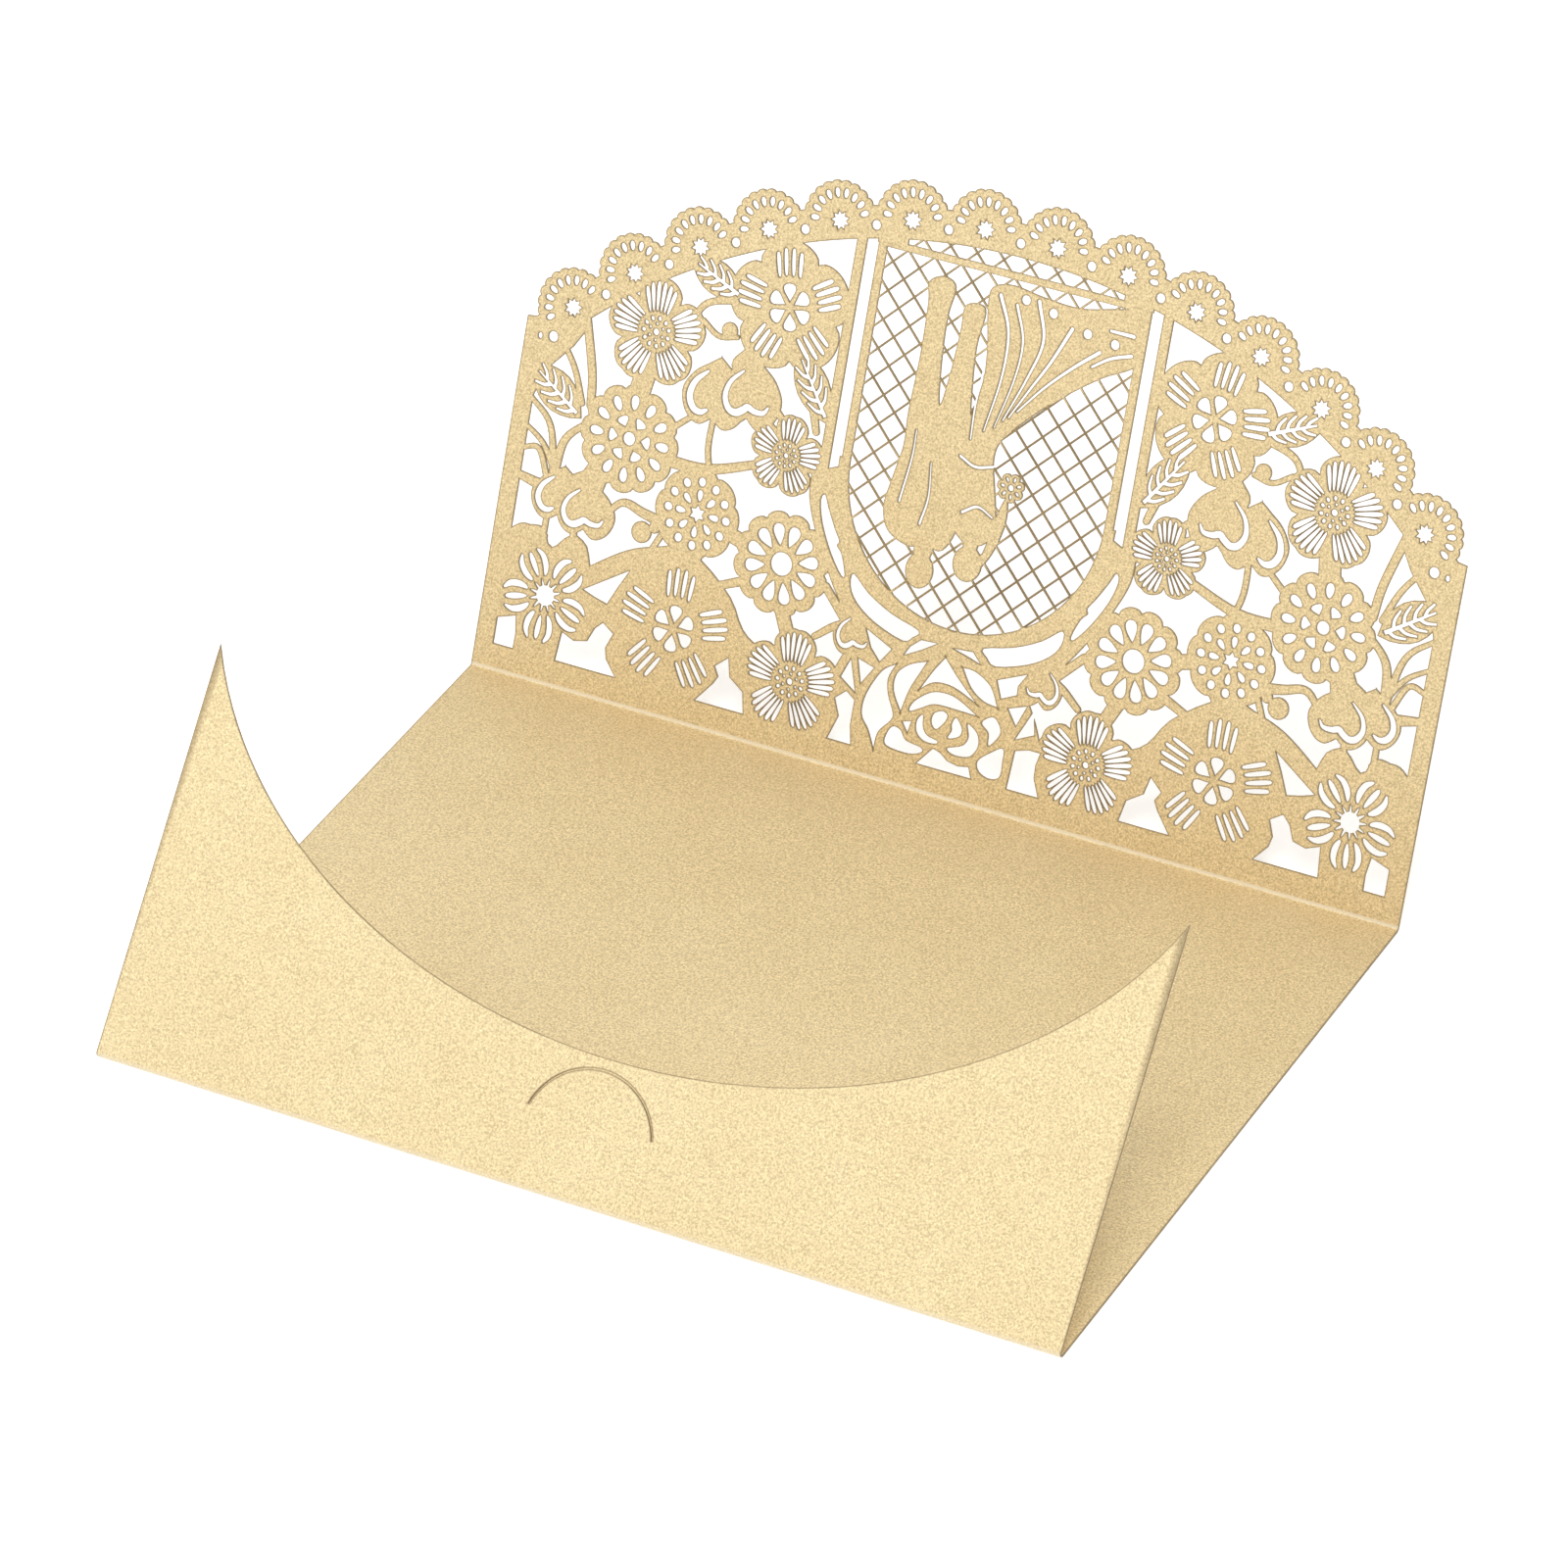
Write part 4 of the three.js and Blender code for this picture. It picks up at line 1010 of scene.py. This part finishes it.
# How brown each point is: fully at a cut, fading across the rim, and nearly fully along the lattice's threads
def browning(flat, border):
    rim = sheetSizes["rim"]
    spots = []
    for a, b in border:
        steps = max(1, int(np.linalg.norm(flat[b] - flat[a]) / 0.12))
        spots.extend(flat[a] + (flat[b] - flat[a]) * i / steps for i in range(steps))
    near = KDTree(len(spots))
    for i, (x, y) in enumerate(spots):
        near.insert((x, y, 0), i)
    near.balance()
    away = np.array([near.find((x, y, 0))[2] for x, y in flat])
    burn = np.clip(1.5 * (1 - away / (0.92 * rim)), 0, 1)
    lattice = insideAny(flat, windowShapes) & ~insideAny(flat, stay)
    burn[lattice] = np.maximum(burn[lattice], 0.8)
    burn[list({i for edge in border for i in edge})] = 1
    return burn


# The outer face and the inward normal at a height up the flat sheet
def section(height):
    half = sheetSizes["backHeight"] / 2
    laceMiddle = (half - setback, outerRadius)
    pocketMiddle = (outerRadius - half, outerRadius)
    if height >= backTo:
        share = min((height - backTo) / (laceFrom - backTo), 1)
        a = math.radians(270) + laceBend * share
        run = max(height - laceFrom, 0)
        middle, way = laceMiddle, (math.cos(laceBend), math.sin(laceBend))
    elif height > backFrom:
        return (laceMiddle[0] - (backTo - height), 0.0), (0, 1)
    else:
        share = min((backFrom - height) / (backFrom - pocketTo), 1)
        a = math.radians(270) - pocketBend * share
        run = max(pocketTo - height, 0)
        lean = math.radians(sheetSizes["pocketAngle"])
        middle, way = pocketMiddle, (math.cos(lean), math.sin(lean))
    outer = (middle[0] + outerRadius * math.cos(a) + way[0] * run,
             middle[1] + outerRadius * math.sin(a) + way[1] * run)
    return outer, (-math.cos(a), -math.sin(a))


def foldedPoint(x, height, depth):
    (y, z), (ny, nz) = section(height)
    return (x * mm, (y + ny * depth) * mm, (z + nz * depth) * mm)


# The paper's triangles in the flat sheet, filled twice: the second time with a rim beside each cut
def fillSheet():
    foldLines = []
    for first, last in ((backTo, laceFrom), (pocketTo, backFrom)):
        for y in np.linspace(first, last, sheetSizes["foldLines"] + 1):
            foldLines.append(((-halfWidth, y), (halfWidth, y)))
    flat, faces = triangulate(stay + cuts + threads + windowShapes, foldLines)
    print("first filling:", len(faces), "triangles")
    faces = largestPart(faces[keepPaper(flat, faces)], len(flat))
    loops = [flat[loop] for loop in borderLoops(faces)]
    outlines = [loop.tolist() for loop in loops]
    rims = [insetLoop(loop, sheetSizes["rim"]).tolist() for loop in loops]
    flat, faces = triangulate(outlines + rims, foldLines)
    middle = flat[faces].mean(axis=1)
    odd = np.zeros(len(faces), bool)
    for outline in outlines:
        odd ^= insideMask(middle, outline)
    print("second filling:", odd.sum(), "triangles,", len(loops), "openings and edges")
    corners, faces = np.unique(faces[odd], return_inverse=True)
    return flat[corners], faces.reshape(-1, 3)


# Both faces of the paper and the walls between them, folded into place
def makeSheet():
    flat, faces = fillSheet()
    count = len(flat)
    border = [(loop[i], loop[(i + 1) % len(loop)]) for loop in borderLoops(faces) for i in range(len(loop))]
    burn = browning(flat, border)
    points = [foldedPoint(x, y, depth) for depth in (0, sheetSizes["thickness"]) for x, y in flat]
    made = [tuple(f[::-1]) for f in faces] + [tuple(f + count) for f in faces]
    walls = [(a, b, b + count, a + count) for a, b in border]
    mesh = bpy.data.meshes.new("foldedCard")
    mesh.from_pydata(points, [], made + walls)
    heat = [float(burn[corner % count]) for face in made for corner in face] + [1.0] * (4 * len(walls))
    places, (right, up) = [], sheetSizes["uvShift"]
    for face in made + walls:
        for corner in face:
            x, y = flat[corner % count]
            places.extend(((x + right) * mm, (y + up) * mm))
    mesh.attributes.new("burn", "FLOAT", "CORNER").data.foreach_set("value", heat)
    mesh.uv_layers.new(name="flatSheet").data.foreach_set("uv", places)
    mesh.materials.append(pearlPaper)
    mesh.validate()
    mesh.shade_flat()
    mesh.update()
    card = bpy.data.objects.new("foldedCard", mesh)
    bpy.context.scene.collection.objects.link(card)
    return card


card = makeSheet()
print("sheet made:", len(card.data.polygons), "faces")
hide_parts("folded_sheet")
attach(card, "root")

# Floor, backdrop and light
stageSizes = {"size": 6.0, "drop": 0.0002, "glow": 0.5, "room": 0.42}
# Place, target, width and power
lightSizes = {
    "keyLight": ((0.5, -0.9, 1.6), (0.02, -0.02, 0.03), 0.9, 15.5),
    "fillLight": ((-1.3, -0.5, 1.1), (0, 0.02, 0.03), 1.2, 7),
}


# 1 for camera, glossy and transmission rays
def seenRays(t):
    path = t.node("ShaderNodeLightPath").outputs
    seen = t.maths("MAXIMUM", path["Is Camera Ray"], path["Is Glossy Ray"])
    return t.maths("MAXIMUM", seen, path["Is Transmission Ray"])


def stageMaterial(sizes):
    made = bpy.data.materials.new("paleStage")
    made.use_nodes = True
    t = treeMaker(made.node_tree)
    sockets = made.node_tree.nodes["Principled BSDF"].inputs
    for name, value in (("Base Color", (0.93, 0.93, 0.93)), ("Roughness", 0.9), ("Specular IOR Level", 0.1),
                        ("Emission Color", (1, 1, 1)),
                        ("Emission Strength", t.times(seenRays(t), sizes["glow"]))):
        t.put(value, sockets[name])
    return made


def makeStage(sizes):
    mesh = bpy.data.meshes.new("floor")
    h = sizes["size"] / 2
    mesh.from_pydata([(-h, -h, 0), (h, -h, 0), (h, h, 0), (-h, h, 0)], [], [(0, 1, 2, 3)])
    floor = bpy.data.objects.new("floor", mesh)
    floor.location.z = -sizes["drop"]
    mesh.materials.append(stageMaterial(sizes))
    bpy.context.scene.collection.objects.link(floor)


def makeLight(name, place, target, width, power):
    data = bpy.data.lights.new(name, "AREA")
    data.shape, data.size, data.energy = "DISK", width, power
    lamp = bpy.data.objects.new(name, data)
    lamp.location = place
    lamp.rotation_euler = (Vector(target) - Vector(place)).to_track_quat("-Z", "Y").to_euler()
    bpy.context.scene.collection.objects.link(lamp)


def makeWorld(sizes):
    world = bpy.data.worlds.new("room")
    world.use_nodes = True
    t = treeMaker(world.node_tree)
    backdrop = world.node_tree.nodes["Background"]
    t.put((1, 1, 1), backdrop.inputs["Color"])
    t.put(t.plus(t.times(seenRays(t), 1 - sizes["room"]), sizes["room"]), backdrop.inputs["Strength"])
    bpy.context.scene.world = world


makeStage(stageSizes)
for name, sizes in lightSizes.items():
    makeLight(name, *sizes)
makeWorld(stageSizes)
bpy.context.scene.view_settings.view_transform = "Standard"
print("stage and light made")
